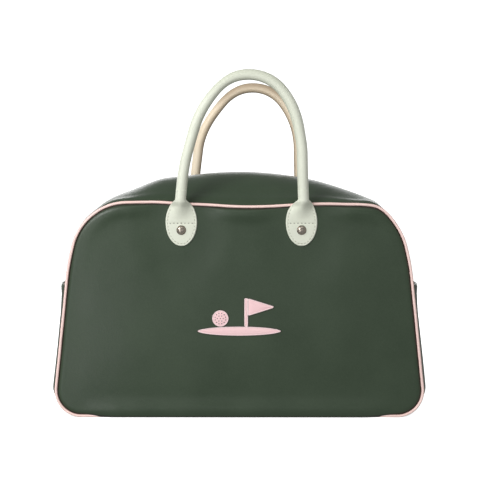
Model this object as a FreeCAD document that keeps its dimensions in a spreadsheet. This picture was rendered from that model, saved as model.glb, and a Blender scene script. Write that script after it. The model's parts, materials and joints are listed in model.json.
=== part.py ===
import FreeCAD, Part
import Sketcher
import math
import os

from FreeCAD import Placement, Rotation, Vector

# Golf shoe bag of the bowling-bag kind: two flat dome-shaped panels, a band of gusset between them, piping on
# both seams, a zip along the crowned top and two rolled carrying handles.
# Millimetres. +X is right as the front is seen, +Y is towards the rear, +Z is up.
# The origin is the middle of the footprint, on the surface that the bag stands on.

DIMENSIONS = [
    # alias, value, what it is
    ("bag_depth", 180.0, "between the piping lines of the two panels"),
    ("panel_top", 251.0, "height of the piping line at the middle of the top"),
    ("notch_height", 153.0, "height where the zip gusset meets the bottom gusset"),
    ("notch_half_width", 201.9, "half width of the piping line at that height"),
    ("side_lean", 6.0, "degrees that the sides lean inwards"),
    ("flank_turn", 15.0, "degrees turned where the flank arc meets the corner arc"),
    ("flank_radius", 250.0, "gentle arc between side and corner"),
    ("corner_radius", 66.0, "top corner of the panels"),
    ("foot_radius", 30.0, "bottom corner of the panels"),
    ("panel_top_radius", 6000.0, "very slight crown of the panels' top edge"),
    ("crown_height", 288.0, "height of the zip line at the middle"),
    ("crown_radius", 360.0, "arc of the zip line over the top"),
    ("crown_corner_radius", 42.0, "corner of the gusset beside the zip"),
    ("side_bulge", 7.0, "how far the bottom gusset swells outwards at its upper end"),
    ("bulge_half_depth", 56.0, "half depth over which the sides are fully swollen"),
    ("base_half_depth", 76.0, "half depth of the flat base that the bag stands on"),
    ("piping_radius", 1.75, "covered piping bead"),
    ("cord_radius", 1.0, "filler cord in the piping"),
    ("leather", 1.4, "thickness of the panels' leather"),
    ("gusset_leather", 1.6, "thickness of the gusset's leather"),
    ("lining", 0.6, "thickness of the lining cloth"),
    ("binding_width", 10.0, "tape that covers the seams inside"),
    ("lip", 7.0, "half width of the gap between the leather edges beside the zip"),
    ("board_width", 364.0, "base board along X"),
    ("board_depth", 150.0, "base board along Y"),
    ("board", 2.5, "thickness of the base board"),
    ("board_corner", 18.0, "corner radius of the base board"),
    ("front_handle_shift", 2.5, "the front handle sits this far right of the middle"),
    ("rear_handle_shift", 8.5, "the rear handle sits this far right of the middle"),
    ("handle_height", 400.3, "height of the handle's centre line at its top"),
    ("handle_top_radius", 52.0, "arc at the top of the handle"),
    ("handle_side_radius", 110.0, "arc between the handle's top and its legs"),
    ("handle_top_turn", 50.0, "degrees of the top arc on each side"),
    ("handle_lean", 4.0, "degrees that the straight legs lean inwards"),
    ("handle_radius", 6.2, "rolled handle"),
    ("core_radius", 5.15, "rope core of the handle"),
    ("hinge_height", 253.0, "where the handle bends above its tabs"),
    ("hinge_gap", 0.35, "clearance behind the handle"),
    ("tab", 1.6, "thickness of the tab leather"),
    ("tab_radius", 18.0, "round ends of the tab"),
    ("tab_low", 219.0, "height of the centre of the tab's lower round end"),
    ("tab_high", 229.0, "height of the centre of the tab's upper round end"),
    ("tab_neck", 248.6, "top of the tab's plate"),
    ("core_end_high", 238.0, "centre of the raised part's round upper end"),
    ("core_end_low", 232.0, "centre of the raised part's round lower end"),
    ("rivet_height", 219.4, "height of the rivets"),
    ("rivet_radius", 5.0, "domed rivet cap"),
    ("rivet_dome", 2.4, "height of the rivet cap"),
    ("rivet_stem", 1.5, "radius of the rivet's stem"),
    ("rivet_hole", 1.6, "radius of the holes for the stem"),
    ("patch", 1.1, "thickness of the backing patch behind the tabs"),
    ("hem", 3.2, "thickness of the leather folded under, twice, beside the zip"),
    ("hem_width", 5.0, "width of that hem"),
    ("tape_width", 9.0, "each half of the zip tape"),
    ("tape", 0.6, "thickness of the zip tape"),
    ("tooth_row", 1.8, "width of each row of teeth"),
    ("tooth", 2.4, "thickness of the rows of teeth"),
    ("zip_reach", 27.1, "degrees of the zip line each side of the middle that carry teeth"),
    ("slider_rest", 26.0, "degrees from the middle where the closed zip's slider stands"),
    ("slider_length", 12.0, "along the zip"),
    ("slider_half_width", 4.7, "across the zip"),
    ("stop_length", 2.2, "stop at each end of the zip"),
    ("pull_length", 26.0, "leather part of the zip pull"),
    ("pull_half_width", 4.5, "leather part of the zip pull"),
    ("pull", 1.6, "thickness of the leather zip pull"),
    ("emblem", 0.8, "thickness of the sewn-on emblem"),
    ("emblem_height", 118.0, "height of the emblem's middle"),
    ("emblem_half_width", 48.0, "half width of the emblem's ground"),
]

GAP = 0.2          # between layers that are sewn or glued together
TAPE_DROP = 4.0    # the zip tape lies this far below the leather, under the hem that it is sewn to
BEAD_CLEAR = 0.05  # between the piping bead and the panel that it frames
NODES = []         # every sub-part, in the order made


# ---- document, sheet and sub-part bookkeeping ----

doc = FreeCAD.newDocument("golf_shoe_bag")
sheet = doc.addObject("Spreadsheet::Sheet", "Dimensions")
for row, (alias, value, meaning) in enumerate(DIMENSIONS, start=1):
    sheet.set(f"A{row}", alias)
    sheet.set(f"B{row}", str(value))
    sheet.set(f"C{row}", meaning)
    sheet.setAlias(f"B{row}", alias)
doc.recompute()


def dim(alias):
    """A driving dimension, read from the sheet."""
    return float(sheet.get(alias))


def bind(obj, **properties):
    """Binds each named property to an expression of the sheet's aliases."""
    for name, expression in properties.items():
        for alias, _, _ in sorted(DIMENSIONS, key=lambda entry: -len(entry[0])):
            expression = expression.replace(f"[{alias}]", f"Dimensions.{alias}")
        obj.setExpression(name, expression)


def node(obj, label):
    """Registers an object as the sub-part called label."""
    obj.Label = label
    NODES.append(obj)
    return obj


def feature(label, shape, placement=Placement()):
    """A sub-part whose shape comes from Part's own functions."""
    obj = doc.addObject("Part::Feature", label)
    obj.Shape = shape
    obj.Placement = placement
    return node(obj, label)


# ---- arcs and bands in the XZ plane ----

def normal(degrees):
    """Unit vector in the XZ plane, at degrees from +X towards +Z."""
    angle = math.radians(degrees)
    return Vector(math.cos(angle), 0, math.sin(angle))


def mirrored(arcs):
    """The same arcs on the left, in the order that continues a path from right to left."""
    return [(Vector(-c.x, 0, c.z), r, 180 - end, 180 - start) for c, r, start, end in reversed(arcs)]


class Path:
    """Arcs (centre, radius, first normal, last normal) joined by straight lines that are tangent to them."""

    def __init__(self, arcs, first=None, last=None):
        self.arcs = arcs
        self.first = first
        self.last = last

    def segments(self, depth, inset):
        """Point tuples, two for a line and three for an arc, at Y = depth and inset towards the inside."""
        result = []
        here = None
        if self.first is not None:
            here = self.first - normal(self.arcs[0][2]) * inset
        for centre, radius, start, end in self.arcs:
            points = [centre + normal(a) * (radius - inset) for a in (start, (start + end) / 2, end)]
            if here is not None and (points[0] - here).Length > 1e-6:
                result.append((here, points[0]))
            result.append(tuple(points))
            here = points[-1]
        if self.last is not None:
            result.append((here, self.last - normal(self.arcs[-1][3]) * inset))
        lift = Vector(0, depth, 0)
        return [tuple(point + lift for point in segment) for segment in result]


def edge(segment):
    if len(segment) == 2:
        return Part.makeLine(*segment)
    return Part.Arc(*segment).toShape()


def closed_wire(path, depth, inset):
    """The whole outline as one closed wire."""
    segments = path.segments(depth, inset)
    segments.append((segments[-1][-1], segments[0][0]))
    return Part.Wire([edge(s) for s in segments])


def band_wire(path, depth, inset, thickness):
    """Closed wire round the section of a strip that follows an open path."""
    outer = path.segments(depth, inset)
    inner = [tuple(reversed(s)) for s in reversed(path.segments(depth, inset + thickness))]
    ends = (outer[-1][-1], inner[0][0]), (inner[-1][-1], outer[0][0])
    return Part.Wire([edge(s) for s in outer + [ends[0]] + inner + [ends[1]]])


def arch(share):
    """Path over the top from the right notch to the left one: share 0 is the panels' seam, 1 is the zip's edge."""
    lean, turn, flank = dim("side_lean"), dim("flank_turn"), dim("flank_radius")
    crown = dim("panel_top") + share * (dim("crown_height") - dim("panel_top"))
    curvature = (1 - share) / dim("panel_top_radius") + share / dim("crown_radius")
    top = 1 / curvature
    corner = dim("corner_radius") + share * (dim("crown_corner_radius") - dim("corner_radius"))
    notch = Vector(dim("notch_half_width") + share, 0, dim("notch_height"))
    top_centre = Vector(0, 0, crown - top)
    reach = (notch - top_centre).dot(normal(lean)) - flank
    reach -= (corner - flank) * math.cos(math.radians(turn - lean))
    spread = math.degrees(math.asin(reach / (top - corner))) - lean
    corner_centre = top_centre + normal(90 - spread) * (top - corner)
    flank_centre = corner_centre + normal(turn) * (corner - flank)
    right = [(flank_centre, flank, lean, turn), (corner_centre, corner, turn, 90 - spread)]
    arcs = right + [(top_centre, top, 90 - spread, 90 + spread)] + mirrored(right)
    return Path(arcs, notch, Vector(-notch.x, 0, notch.z))


def foot_centre(sink):
    """Centre of the right bottom corner, whose arc meets the leaning side and a base that lies sink lower."""
    lean, radius = dim("side_lean"), dim("foot_radius")
    height = dim("piping_radius") + radius
    side = Vector(dim("notch_half_width"), 0, dim("notch_height")).dot(normal(lean))
    across = (side - radius - height * math.sin(math.radians(lean))) / math.cos(math.radians(lean))
    return Vector(across, 0, height - sink)


def trough(bulge, sink):
    """Path of the bottom gusset, from the left notch under the bag to the right notch."""
    centre, radius = foot_centre(sink), dim("foot_radius")
    notch = Vector(dim("notch_half_width") + bulge, 0, dim("notch_height"))
    rise = notch - centre
    lean = math.degrees(math.atan2(rise.z, rise.x) - math.acos(radius / rise.Length))
    right = [(centre, radius, 270, 360 + lean)]
    left = [(Vector(-centre.x, 0, centre.z), radius, 180 - lean, 270)]
    return Path(left + right, Vector(-notch.x, 0, notch.z), notch)


def outline():
    """The piping line round a panel."""
    over, under = arch(0), trough(0, 0)
    return Path(over.arcs + under.arcs)


SEAM = dim("bag_depth") / 2
FACE = SEAM + 0.6                                   # outer face of the panels
GUSSET_EDGE = SEAM - dim("piping_radius") - 0.05    # the gusset ends behind the bead
GUSSET_INSET = 0.5                                  # the bead stands this far proud of the gusset
TAB_FACE = FACE + GAP + dim("tab")
HANDLE_AXIS = TAB_FACE + dim("hinge_gap") + dim("handle_radius")
CROWN_CENTRE = Vector(0, 0, dim("crown_height") - dim("crown_radius"))
SIDES = (("front", -1), ("rear", 1))


# ---- flat sheets: panels, linings and seam bindings ----

def sheet_of(label, inner, outer, inset, side, thickness):
    """Sheet in the panel's outline between two depths, extruded by a bound thickness."""
    profile = doc.addObject("Part::Feature", f"{label}_outline")
    profile.Shape = closed_wire(outline(), 0, inset)
    profile.Placement = Placement(Vector(0, side * (outer if side < 0 else inner), 0), Rotation())
    extrusion = doc.addObject("Part::Extrusion", f"{label}_sheet")
    extrusion.Base = profile
    extrusion.DirMode = "Custom"
    extrusion.Dir = Vector(0, 1, 0)
    extrusion.Solid = True
    bind(extrusion, LengthFwd=thickness)
    return extrusion


def stem_holes(label, side):
    """Two cylinders through which the rivets of one handle pass."""
    holes = []
    for place in (-1, 1):
        hole = doc.addObject("Part::Cylinder", f"{label}_hole")
        bind(hole, Radius="[rivet_hole]")
        hole.Height = 20
        hole.Placement = Placement(Vector(leg_x(side, place), side * SEAM - 10, dim("rivet_height")),
                                   Rotation(Vector(1, 0, 0), -90))
        holes.append(hole)
    tool = doc.addObject("Part::Compound", f"{label}_holes")
    tool.Links = holes
    return tool


def pierced(label, base, side):
    """Cuts the rivet holes out of a layer."""
    cut = doc.addObject("Part::Cut", label)
    cut.Base = base
    cut.Tool = stem_holes(label, side)
    return node(cut, label)


def panels():
    inset = dim("piping_radius") + BEAD_CLEAR
    for name, side in SIDES:
        label = f"{name}_panel"
        base = sheet_of(label, FACE - dim("leather"), FACE, inset, side, "[leather]")
        pierced(label, base, side)


def panel_linings():
    outer = FACE - dim("leather") - dim("patch") - 3 * GAP / 2
    inset = GUSSET_INSET + dim("gusset_leather") + 2 * GAP
    for name, side in SIDES:
        label = f"{name}_lining"
        base = sheet_of(label, outer - dim("lining"), outer, inset, side, "[lining]")
        pierced(label, base, side)


def seam_bindings():
    """Tape rings that cover the seams inside the bag."""
    outer_inset = GUSSET_INSET + dim("gusset_leather") + dim("lining") + 7 * GAP
    start = GUSSET_EDGE - 2.0
    for name, side in SIDES:
        ring = []
        for inset in (outer_inset, outer_inset + dim("lining")):
            ring.append(Part.Face(closed_wire(outline(), -start if side < 0 else start, inset)))
        tape = ring[0].cut(ring[1]).extrude(Vector(0, -side * dim("binding_width"), 0))
        feature(f"{name}_seam_binding", tape)


def backing_patches():
    """Stiff patches behind the tabs, between panel and lining, which spread the handle's pull."""
    for name, side in SIDES:
        face = FACE - dim("leather") - GAP / 2
        patches = []
        for place in (-1, 1):
            corner = Vector(leg_x(side, place) - dim("tab_radius"), side * face - (dim("patch") if side > 0 else 0),
                            dim("tab_low") - dim("tab_radius"))
            size = 2 * dim("tab_radius")
            patch = Part.makeBox(size, dim("patch"), size + 10, corner)
            patches.append(patch.makeFillet(6, [e for e in patch.Edges if abs(e.tangentAt(0).y) > 0.9]))
        compound = Part.makeCompound(patches)
        base = doc.addObject("Part::Feature", f"handle_backing_{name}_blank")
        base.Shape = compound
        pierced(f"handle_backing_{name}", base, side)


# ---- piping ----

def swept(path_wire, profile, binormal=Vector(0, 1, 0)):
    """Solid made by a closed profile along a planar path."""
    maker = Part.BRepOffsetAPI.MakePipeShell(path_wire)
    maker.setBiNormalMode(binormal)
    maker.add(profile)
    maker.build()
    maker.makeSolid()
    return maker.shape()


def bead(radius, depth):
    """Round bead along the whole piping line."""
    spine = closed_wire(outline(), depth, 0)
    start = spine.OrderedEdges[0]
    point = start.valueAt(start.FirstParameter)
    direction = start.tangentAt(start.FirstParameter)
    circle = Part.Wire([Part.makeCircle(radius, point, direction)])
    return swept(spine, circle)


def piping():
    wall = 0.05
    for name, side in SIDES:
        cover = bead(dim("piping_radius"), side * SEAM).cut(bead(dim("cord_radius") + wall, side * SEAM))
        feature(f"{name}_piping_cover", cover)
        feature(f"{name}_piping_cord", bead(dim("cord_radius"), side * SEAM))


# ---- gussets ----

def lofted(sections, ruled=False):
    return Part.makeLoft([band_wire(*section) for section in sections], True, ruled)


def bottom_gusset():
    """Band up both sides and under the bag: its ends swell outwards, and its flat base stands on the ground."""
    sink = dim("piping_radius") + GUSSET_INSET
    part_swollen = 0.55
    layers = (("bottom_gusset", GUSSET_EDGE, GUSSET_INSET, dim("gusset_leather")),
              ("bottom_lining", GUSSET_EDGE - 1.0, GUSSET_INSET + dim("gusset_leather") + GAP, dim("lining")))
    for label, reach, inset, thickness in layers:
        stations = ((reach, 0.0, 0.0),
                    (dim("base_half_depth"), part_swollen * dim("side_bulge"), sink),
                    (dim("bulge_half_depth"), dim("side_bulge"), sink))
        front = [(trough(bulge, drop), -depth, inset, thickness) for depth, bulge, drop in stations]
        rear = [(path, -depth, inset, thickness) for path, depth, _, _ in reversed(front)]
        feature(label, lofted(front + rear, ruled=True))


def shortened(path, height):
    """The arch ending a little above the notch, so that it clears the bottom gusset."""
    lean = dim("side_lean")
    drop = (height - path.first.z) * math.tan(math.radians(lean))
    first = Vector(path.first.x - drop, 0, height)
    return Path(path.arcs, first, Vector(-first.x, 0, height))


def crown_share(depth):
    """How far the top has risen from the seam to the zip's edge at a depth, steeply at first."""
    along = (GUSSET_EDGE - depth) / (GUSSET_EDGE - dim("lip"))
    return along * (1.88 - 0.88 * along)


def zip_gussets():
    """The two halves of the crowned top, from the piping to the leather edge beside the zip."""
    for name, side in SIDES:
        layers = ((f"zip_gusset_{name}", GUSSET_EDGE, dim("lip"), GUSSET_INSET, dim("gusset_leather")),
                  (f"top_lining_{name}", GUSSET_EDGE - 1.0, dim("lip") + 10,
                   GUSSET_INSET + dim("gusset_leather") + 5 * GAP, dim("lining")))
        for label, outside, inside, inset, thickness in layers:
            height = dim("notch_height") + 0.6
            sections = []
            for depth in (outside, (outside + inside) / 2, inside):
                path = shortened(arch(crown_share(depth)), height)
                sections.append((path, side * depth, inset, thickness))
            feature(label, lofted(sections))


# ---- zip ----

def zip_line(reach):
    """Path along the top arc of the zip, reach degrees each side of the middle."""
    return Path([(CROWN_CENTRE, dim("crown_radius"), 90 - reach, 90 + reach)])


def strip(label, path, inset, thickness, start, width):
    """Strip along a path, extruded across the bag by a bound width."""
    profile = doc.addObject("Part::Feature", f"{label}_profile")
    profile.Shape = band_wire(path, 0, inset, dim(thickness))
    profile.Placement = Placement(Vector(0, start, 0), Rotation())
    extrusion = doc.addObject("Part::Extrusion", label)
    extrusion.Base = profile
    extrusion.DirMode = "Custom"
    extrusion.Dir = Vector(0, 1, 0)
    extrusion.Solid = True
    bind(extrusion, LengthFwd=f"[{width}]")
    return node(extrusion, label)


TAPE_INSET = GUSSET_INSET + dim("gusset_leather") + TAPE_DROP
TOOTH_INSET = TAPE_INSET + dim("tape") / 2 - dim("tooth") / 2
TOOTH_START = 0.9
TAPE_START = TOOTH_START + dim("tooth_row") + 0.1


def zip_rows():
    """Teeth, tapes and the hems that join the tapes to the leather."""
    hem_inset = TAPE_INSET - dim("hem") - GAP
    for name, side in SIDES:
        start = dim("lip") if side > 0 else -dim("lip") - dim("hem_width")
        strip(f"zip_hem_{name}", zip_line(dim("zip_reach")), hem_inset, "hem", start, "hem_width")
        start = TOOTH_START if side > 0 else -TOOTH_START - dim("tooth_row")
        strip(f"zip_teeth_{name}", zip_line(dim("zip_reach")), TOOTH_INSET, "tooth", start, "tooth_row")
        start = TAPE_START if side > 0 else -TAPE_START - dim("tape_width")
        strip(f"zip_tape_{name}", zip_line(dim("zip_reach") + 1), TAPE_INSET, "tape", start, "tape_width")


def along_zip(degrees):
    """Placement that carries a piece made at the middle of the zip to a place along it."""
    return Placement(Vector(0, 0, 0), Rotation(Vector(0, 1, 0), degrees), CROWN_CENTRE)


def zip_stops():
    half_length = math.degrees(dim("stop_length") / 2 / dim("crown_radius"))
    for name, side in (("left", -1), ("right", 1)):
        stop = doc.addObject("Part::Box", f"zip_stop_{name}")
        bind(stop, Length="[stop_length]", Height="[tooth]")
        stop.Width = 2 * (TAPE_START - 0.2)
        corner = Vector(-dim("stop_length") / 2, -stop.Width.Value / 2,
                        dim("crown_height") - TOOTH_INSET - dim("tooth"))
        place = side * (dim("zip_reach") + half_length + 0.05)
        stop.Placement = along_zip(place) * Placement(corner, Rotation())
        node(stop, f"zip_stop_{name}")


def zip_end_covers():
    """Leather straps that close the gap between the gusset halves beyond each end of the zip."""
    path = arch(1)
    lowest = dim("notch_height") + 4
    first = shortened(path, lowest).first
    top_centre, top_radius, top_start, _ = path.arcs[2]
    beyond = 90 - dim("zip_reach") - 1.3
    right = path.arcs[:2] + [(top_centre, top_radius, top_start, beyond)]
    raise_by = GUSSET_INSET - dim("leather") - 2 * GAP
    half_width = 1.5 * dim("lip")
    for name, arcs, ends in (("right", right, (first, None)),
                             ("left", mirrored(right), (None, Vector(-first.x, 0, first.z)))):
        wire = band_wire(Path(arcs, *ends), -half_width, raise_by, dim("leather"))
        feature(f"zip_end_cover_{name}", Part.Face(wire).extrude(Vector(0, 2 * half_width, 0)))


# ---- sketches on a body's own planes ----

def origin_plane(body, role):
    return next(item for item in body.Origin.OriginFeatures if item.Role == role)


def new_sketch(body, role, lift):
    """Sketch on a plane of the body's origin, lifted along its normal."""
    sketch = body.newObject("Sketcher::SketchObject", f"{body.Name}_sketch")
    sketch.AttachmentSupport = [(origin_plane(body, role), "")]
    sketch.MapMode = "FlatFace"
    sketch.AttachmentOffset = Placement(Vector(0, 0, lift), Rotation())
    return sketch


def draw_loop(sketch, points):
    """Closed loop of lines through points (u, v), its corners made coincident."""
    corners = [Vector(u, v, 0) for u, v in points]
    first = sketch.GeometryCount
    for start, end in zip(corners, corners[1:] + corners[:1]):
        sketch.addGeometry(Part.LineSegment(start, end), False)
    last = first + len(corners) - 1
    for index in range(first, last):
        constraint("Coincident", sketch, index, 2, index + 1, 1)
    constraint("Coincident", sketch, last, 2, first, 1)
    return first


def constraint(kind, sketch, *where):
    """Adds a constraint and returns its index."""
    return sketch.addConstraint(Sketcher.Constraint(kind, *where))


def draw_rectangle(sketch, left, low, width, height, sizes=()):
    """Rectangle whose named sizes, (width alias, height alias), are bound to the sheet."""
    first = draw_loop(sketch, [(left, low), (left + width, low), (left + width, low + height), (left, low + height)])
    for offset, kind in enumerate(("Horizontal", "Vertical", "Horizontal", "Vertical")):
        constraint(kind, sketch, first + offset)
    constraint("DistanceX", sketch, -1, 1, first, 1, left)
    constraint("DistanceY", sketch, -1, 1, first, 1, low)
    spans = (("DistanceX", first, width), ("DistanceY", first + 1, height))
    for (kind, line, value), expression in zip(spans, list(sizes) + [None] * (2 - len(sizes))):
        index = constraint(kind, sketch, line, 1, line, 2, value)
        if expression:
            bind(sketch, **{f"Constraints[{index}]": expression})


def draw_circle(sketch, across, up, radius, size=None):
    """Circle at (across, up) with its radius bound to the sheet where size names an expression."""
    circle = sketch.addGeometry(Part.Circle(Vector(across, up, 0), Vector(0, 0, 1), radius), False)
    constraint("DistanceX", sketch, -1, 1, circle, 3, across)
    constraint("DistanceY", sketch, -1, 1, circle, 3, up)
    index = constraint("Radius", sketch, circle, radius)
    if size:
        bind(sketch, **{f"Constraints[{index}]": size})


def padded_body(label, role, lift, draw, length):
    """Body with one sketch, drawn by draw(sketch), and one pad of a bound length."""
    body = doc.addObject("PartDesign::Body", label)
    sketch = new_sketch(body, role, lift)
    draw(sketch)
    pad = body.newObject("PartDesign::Pad", f"{label}_pad")
    pad.Profile = sketch
    bind(pad, Length=length)
    node(body, label)
    return body


# ---- base board ----

def base_board():
    floor = dim("gusset_leather") + dim("lining") + 2 * GAP
    width, depth = dim("board_width"), dim("board_depth")

    def draw(sketch):
        draw_rectangle(sketch, -width / 2, -depth / 2, width, depth, ("[board_width]", "[board_depth]"))

    body = padded_body("base_board", "XY_Plane", floor, draw, "[board]")
    doc.recompute()
    pad = body.Tip
    upright = [f"Edge{i}" for i, e in enumerate(pad.Shape.Edges, 1) if abs(e.tangentAt(0).z) > 0.9]
    fillet = body.newObject("PartDesign::Fillet", "base_board_fillet")
    fillet.Base = (pad, upright)
    bind(fillet, Radius="[board_corner]")


# ---- handles ----

def handle_path():
    """Centre line of a handle, from the right hinge over the top to the left hinge."""
    lean, turn = dim("handle_lean"), 90 - dim("handle_top_turn")
    top, side = dim("handle_top_radius"), dim("handle_side_radius")
    top_centre = Vector(0, 0, dim("handle_height") - top)
    side_centre = top_centre + normal(turn) * (top - side)
    leg_start = side_centre + normal(lean) * side
    down = (leg_start.z - dim("hinge_height")) / math.cos(math.radians(lean))
    hinge = leg_start - Vector(-normal(lean).z, 0, normal(lean).x) * down
    right = [(side_centre, side, lean, turn)]
    arcs = right + [(top_centre, top, turn, 180 - turn)] + mirrored(right)
    return Path(arcs, hinge, Vector(-hinge.x, 0, hinge.z))


def handle_shift(side):
    return dim("front_handle_shift" if side < 0 else "rear_handle_shift")


def leg_x(side, place):
    """X of a handle's leg at the hinge, place being -1 for left and 1 for right."""
    return handle_shift(side) + place * handle_path().first.x


def half_ring(point, across, side, outer, inner):
    """Section of one half of the rolled leather, on the side of the tube given by side along Y."""
    def at(angle, radius):
        turn = math.radians(angle)
        return point + across * (radius * math.cos(turn)) + Vector(0, side * radius * math.sin(turn), 0)

    outside = edge((at(0, outer), at(90, outer), at(180, outer)))
    inside = edge((at(180, inner), at(90, inner), at(0, inner)))
    caps = [edge((at(180, outer), at(180, inner))), edge((at(0, inner), at(0, outer)))]
    return Part.Wire([outside, caps[0], inside, caps[1]])


def handles():
    """Rope core and a cover of two strips, sewn along both edges of the tube."""
    path = handle_path()
    spine = Part.Wire([edge(s) for s in path.segments(0, 0)])
    start, lean = path.first, dim("handle_lean")
    across = normal(lean)
    direction = Vector(-across.z, 0, across.x)
    outer, inner = dim("handle_radius"), dim("core_radius") + 0.05
    core = swept(spine, Part.Wire([Part.makeCircle(dim("core_radius"), start, direction)]))
    for end in (path.first, path.last):
        core = core.fuse(Part.makeSphere(dim("core_radius"), end))
    for name, side in SIDES:
        place = Placement(Vector(handle_shift(side), side * HANDLE_AXIS, 0), Rotation())
        feature(f"{name}_handle_core", core.removeSplitter(), place)
        for cover, facing in (("outer", side), ("inner", -side)):
            wrap = swept(spine, half_ring(start, across, facing, outer, inner))
            feature(f"{name}_handle_{cover}_wrap", wrap, place)


# ---- handle tabs ----

def tab_solid(side):
    """Spoon-shaped tab at X = 0 for one side of the bag: a plate, and the raised part over the handle's end."""
    radius, low, high = dim("tab_radius"), dim("tab_low"), dim("tab_high")
    thickness, tube = dim("tab"), dim("handle_radius")
    back = side * (FACE + GAP) - (0 if side > 0 else thickness)
    plate = Part.makeBox(2 * radius, thickness, high - low, Vector(-radius, back, low))
    for height in (low, high):
        plate = plate.fuse(Part.makeCylinder(radius, thickness, Vector(0, back, height), Vector(0, 1, 0)))
    neck = Part.makeBox(2 * tube, thickness, dim("tab_neck") - high, Vector(-tube, back, high))
    axis = side * HANDLE_AXIS
    lower, upper = dim("core_end_low"), dim("core_end_high")
    rise = Part.makeCylinder(tube, upper - lower, Vector(0, axis, lower))
    web_depth = HANDLE_AXIS - TAB_FACE + thickness / 2
    web_back = axis if side < 0 else axis - web_depth
    web = Part.makeBox(2 * tube, web_depth, upper - lower, Vector(-tube, web_back, lower))
    ends = [Part.makeSphere(tube, Vector(0, axis, height)) for height in (lower, upper)]
    solid = plate.multiFuse([neck, rise, web] + ends).removeSplitter()
    hole = Part.makeCylinder(dim("rivet_hole"), 4 * thickness, Vector(0, back - thickness, dim("rivet_height")),
                             Vector(0, 1, 0))
    return solid.cut(hole)


def handle_tabs():
    for name, side in SIDES:
        shape = tab_solid(side)
        for hand, place in (("left", -1), ("right", 1)):
            feature(f"handle_tab_{name}_{hand}", shape, Placement(Vector(leg_x(side, place), 0, 0), Rotation()))


def rivets():
    """Domed cap with its stem, turned, and the flat burr that it is set against inside."""
    cap_radius, dome, stem = dim("rivet_radius"), dim("rivet_dome"), dim("rivet_stem")
    reach = TAB_FACE - (SEAM - 3.9)
    rim = 0.6
    for name, side in SIDES:
        turn = Rotation(Vector(1, 0, 0), 90 if side < 0 else -90)
        burrs = []
        for hand, place in (("left", -1), ("right", 1)):
            seat = Vector(leg_x(side, place), side * (TAB_FACE + 0.05), dim("rivet_height"))
            body = doc.addObject("PartDesign::Body", f"rivet_{name}_{hand}")
            sketch = new_sketch(body, "XZ_Plane", 0)
            points = [Vector(u, v, 0) for u, v in ((0, -reach), (stem, -reach), (stem, 0), (cap_radius, 0),
                                                   (cap_radius, rim))]
            for start, end in zip(points, points[1:]):
                sketch.addGeometry(Part.LineSegment(start, end), False)
            crown = Vector(0, dome, 0)
            centre = (dome ** 2 - cap_radius ** 2 - rim ** 2) / (2 * (dome - rim))
            half_turn = math.atan2(cap_radius, rim - centre) / 2
            shoulder = Vector(math.sin(half_turn), math.cos(half_turn), 0) * (dome - centre)
            sketch.addGeometry(Part.Arc(points[-1], shoulder + Vector(0, centre, 0), crown), False)
            sketch.addGeometry(Part.LineSegment(crown, points[0]), False)
            revolution = body.newObject("PartDesign::Revolution", f"rivet_{name}_{hand}_turned")
            revolution.Profile = sketch
            revolution.ReferenceAxis = (sketch, ["V_Axis"])
            revolution.Angle = 360
            body.Placement = Placement(seat, turn)
            node(body, f"rivet_{name}_{hand}")
            burr_seat = Vector(seat.x, side * (SEAM - 3.2), seat.z)
            disc = Part.makeCylinder(cap_radius * 0.8, 0.8, burr_seat, Vector(0, -side, 0))
            burrs.append(disc.cut(Part.makeCylinder(dim("rivet_hole"), 3, burr_seat, Vector(0, -side, 0))))
        feature(f"rivet_burrs_{name}", Part.makeCompound(burrs))


# ---- slider and pull ----

def zip_slider():
    """Slider with a wedge between its two plates and room for both rows of teeth, and the bridge on top."""
    clear = 0.45
    half, lip_in = dim("slider_half_width"), TAPE_START + 0.35
    crown = dim("crown_height")
    teeth_top = crown - TOOTH_INSET
    teeth_low = teeth_top - dim("tooth")
    tape_top = crown - TAPE_INSET
    tape_low = tape_top - dim("tape")
    plate, wedge = 1.3, TOOTH_START - clear
    roof, floor = teeth_top + clear, teeth_low - clear
    right = [(half, floor - plate), (half, tape_low - clear), (lip_in, tape_low - clear), (lip_in, floor),
             (wedge, floor), (wedge, roof), (lip_in, roof), (lip_in, tape_top + clear), (half, tape_top + clear),
             (half, roof + plate)]
    loop = right + [(-y, z) for y, z in reversed(right)]
    body = padded_body("zip_slider_body", "YZ_Plane", -dim("slider_length") / 2,
                       lambda sketch: draw_loop(sketch, loop), "[slider_length]")
    body.Placement = along_zip(dim("slider_rest"))
    top = roof + plate
    half_bridge, rise, width, pin_rise = 4.6, 3.8, 2.8, 1.75

    def draw_bridge(sketch):
        left, right_end, peak = Vector(-half_bridge, top, 0), Vector(half_bridge, top, 0), Vector(0, top + rise, 0)
        sketch.addGeometry(Part.LineSegment(left, right_end), False)
        sketch.addGeometry(Part.Arc(right_end, peak, left), False)
        draw_circle(sketch, 0, top + pin_rise, 1.15)

    bridge = padded_body("zip_slider_bridge", "XZ_Plane", -width / 2, draw_bridge, str(width))
    bridge.Placement = along_zip(dim("slider_rest"))
    return top + pin_rise


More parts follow.
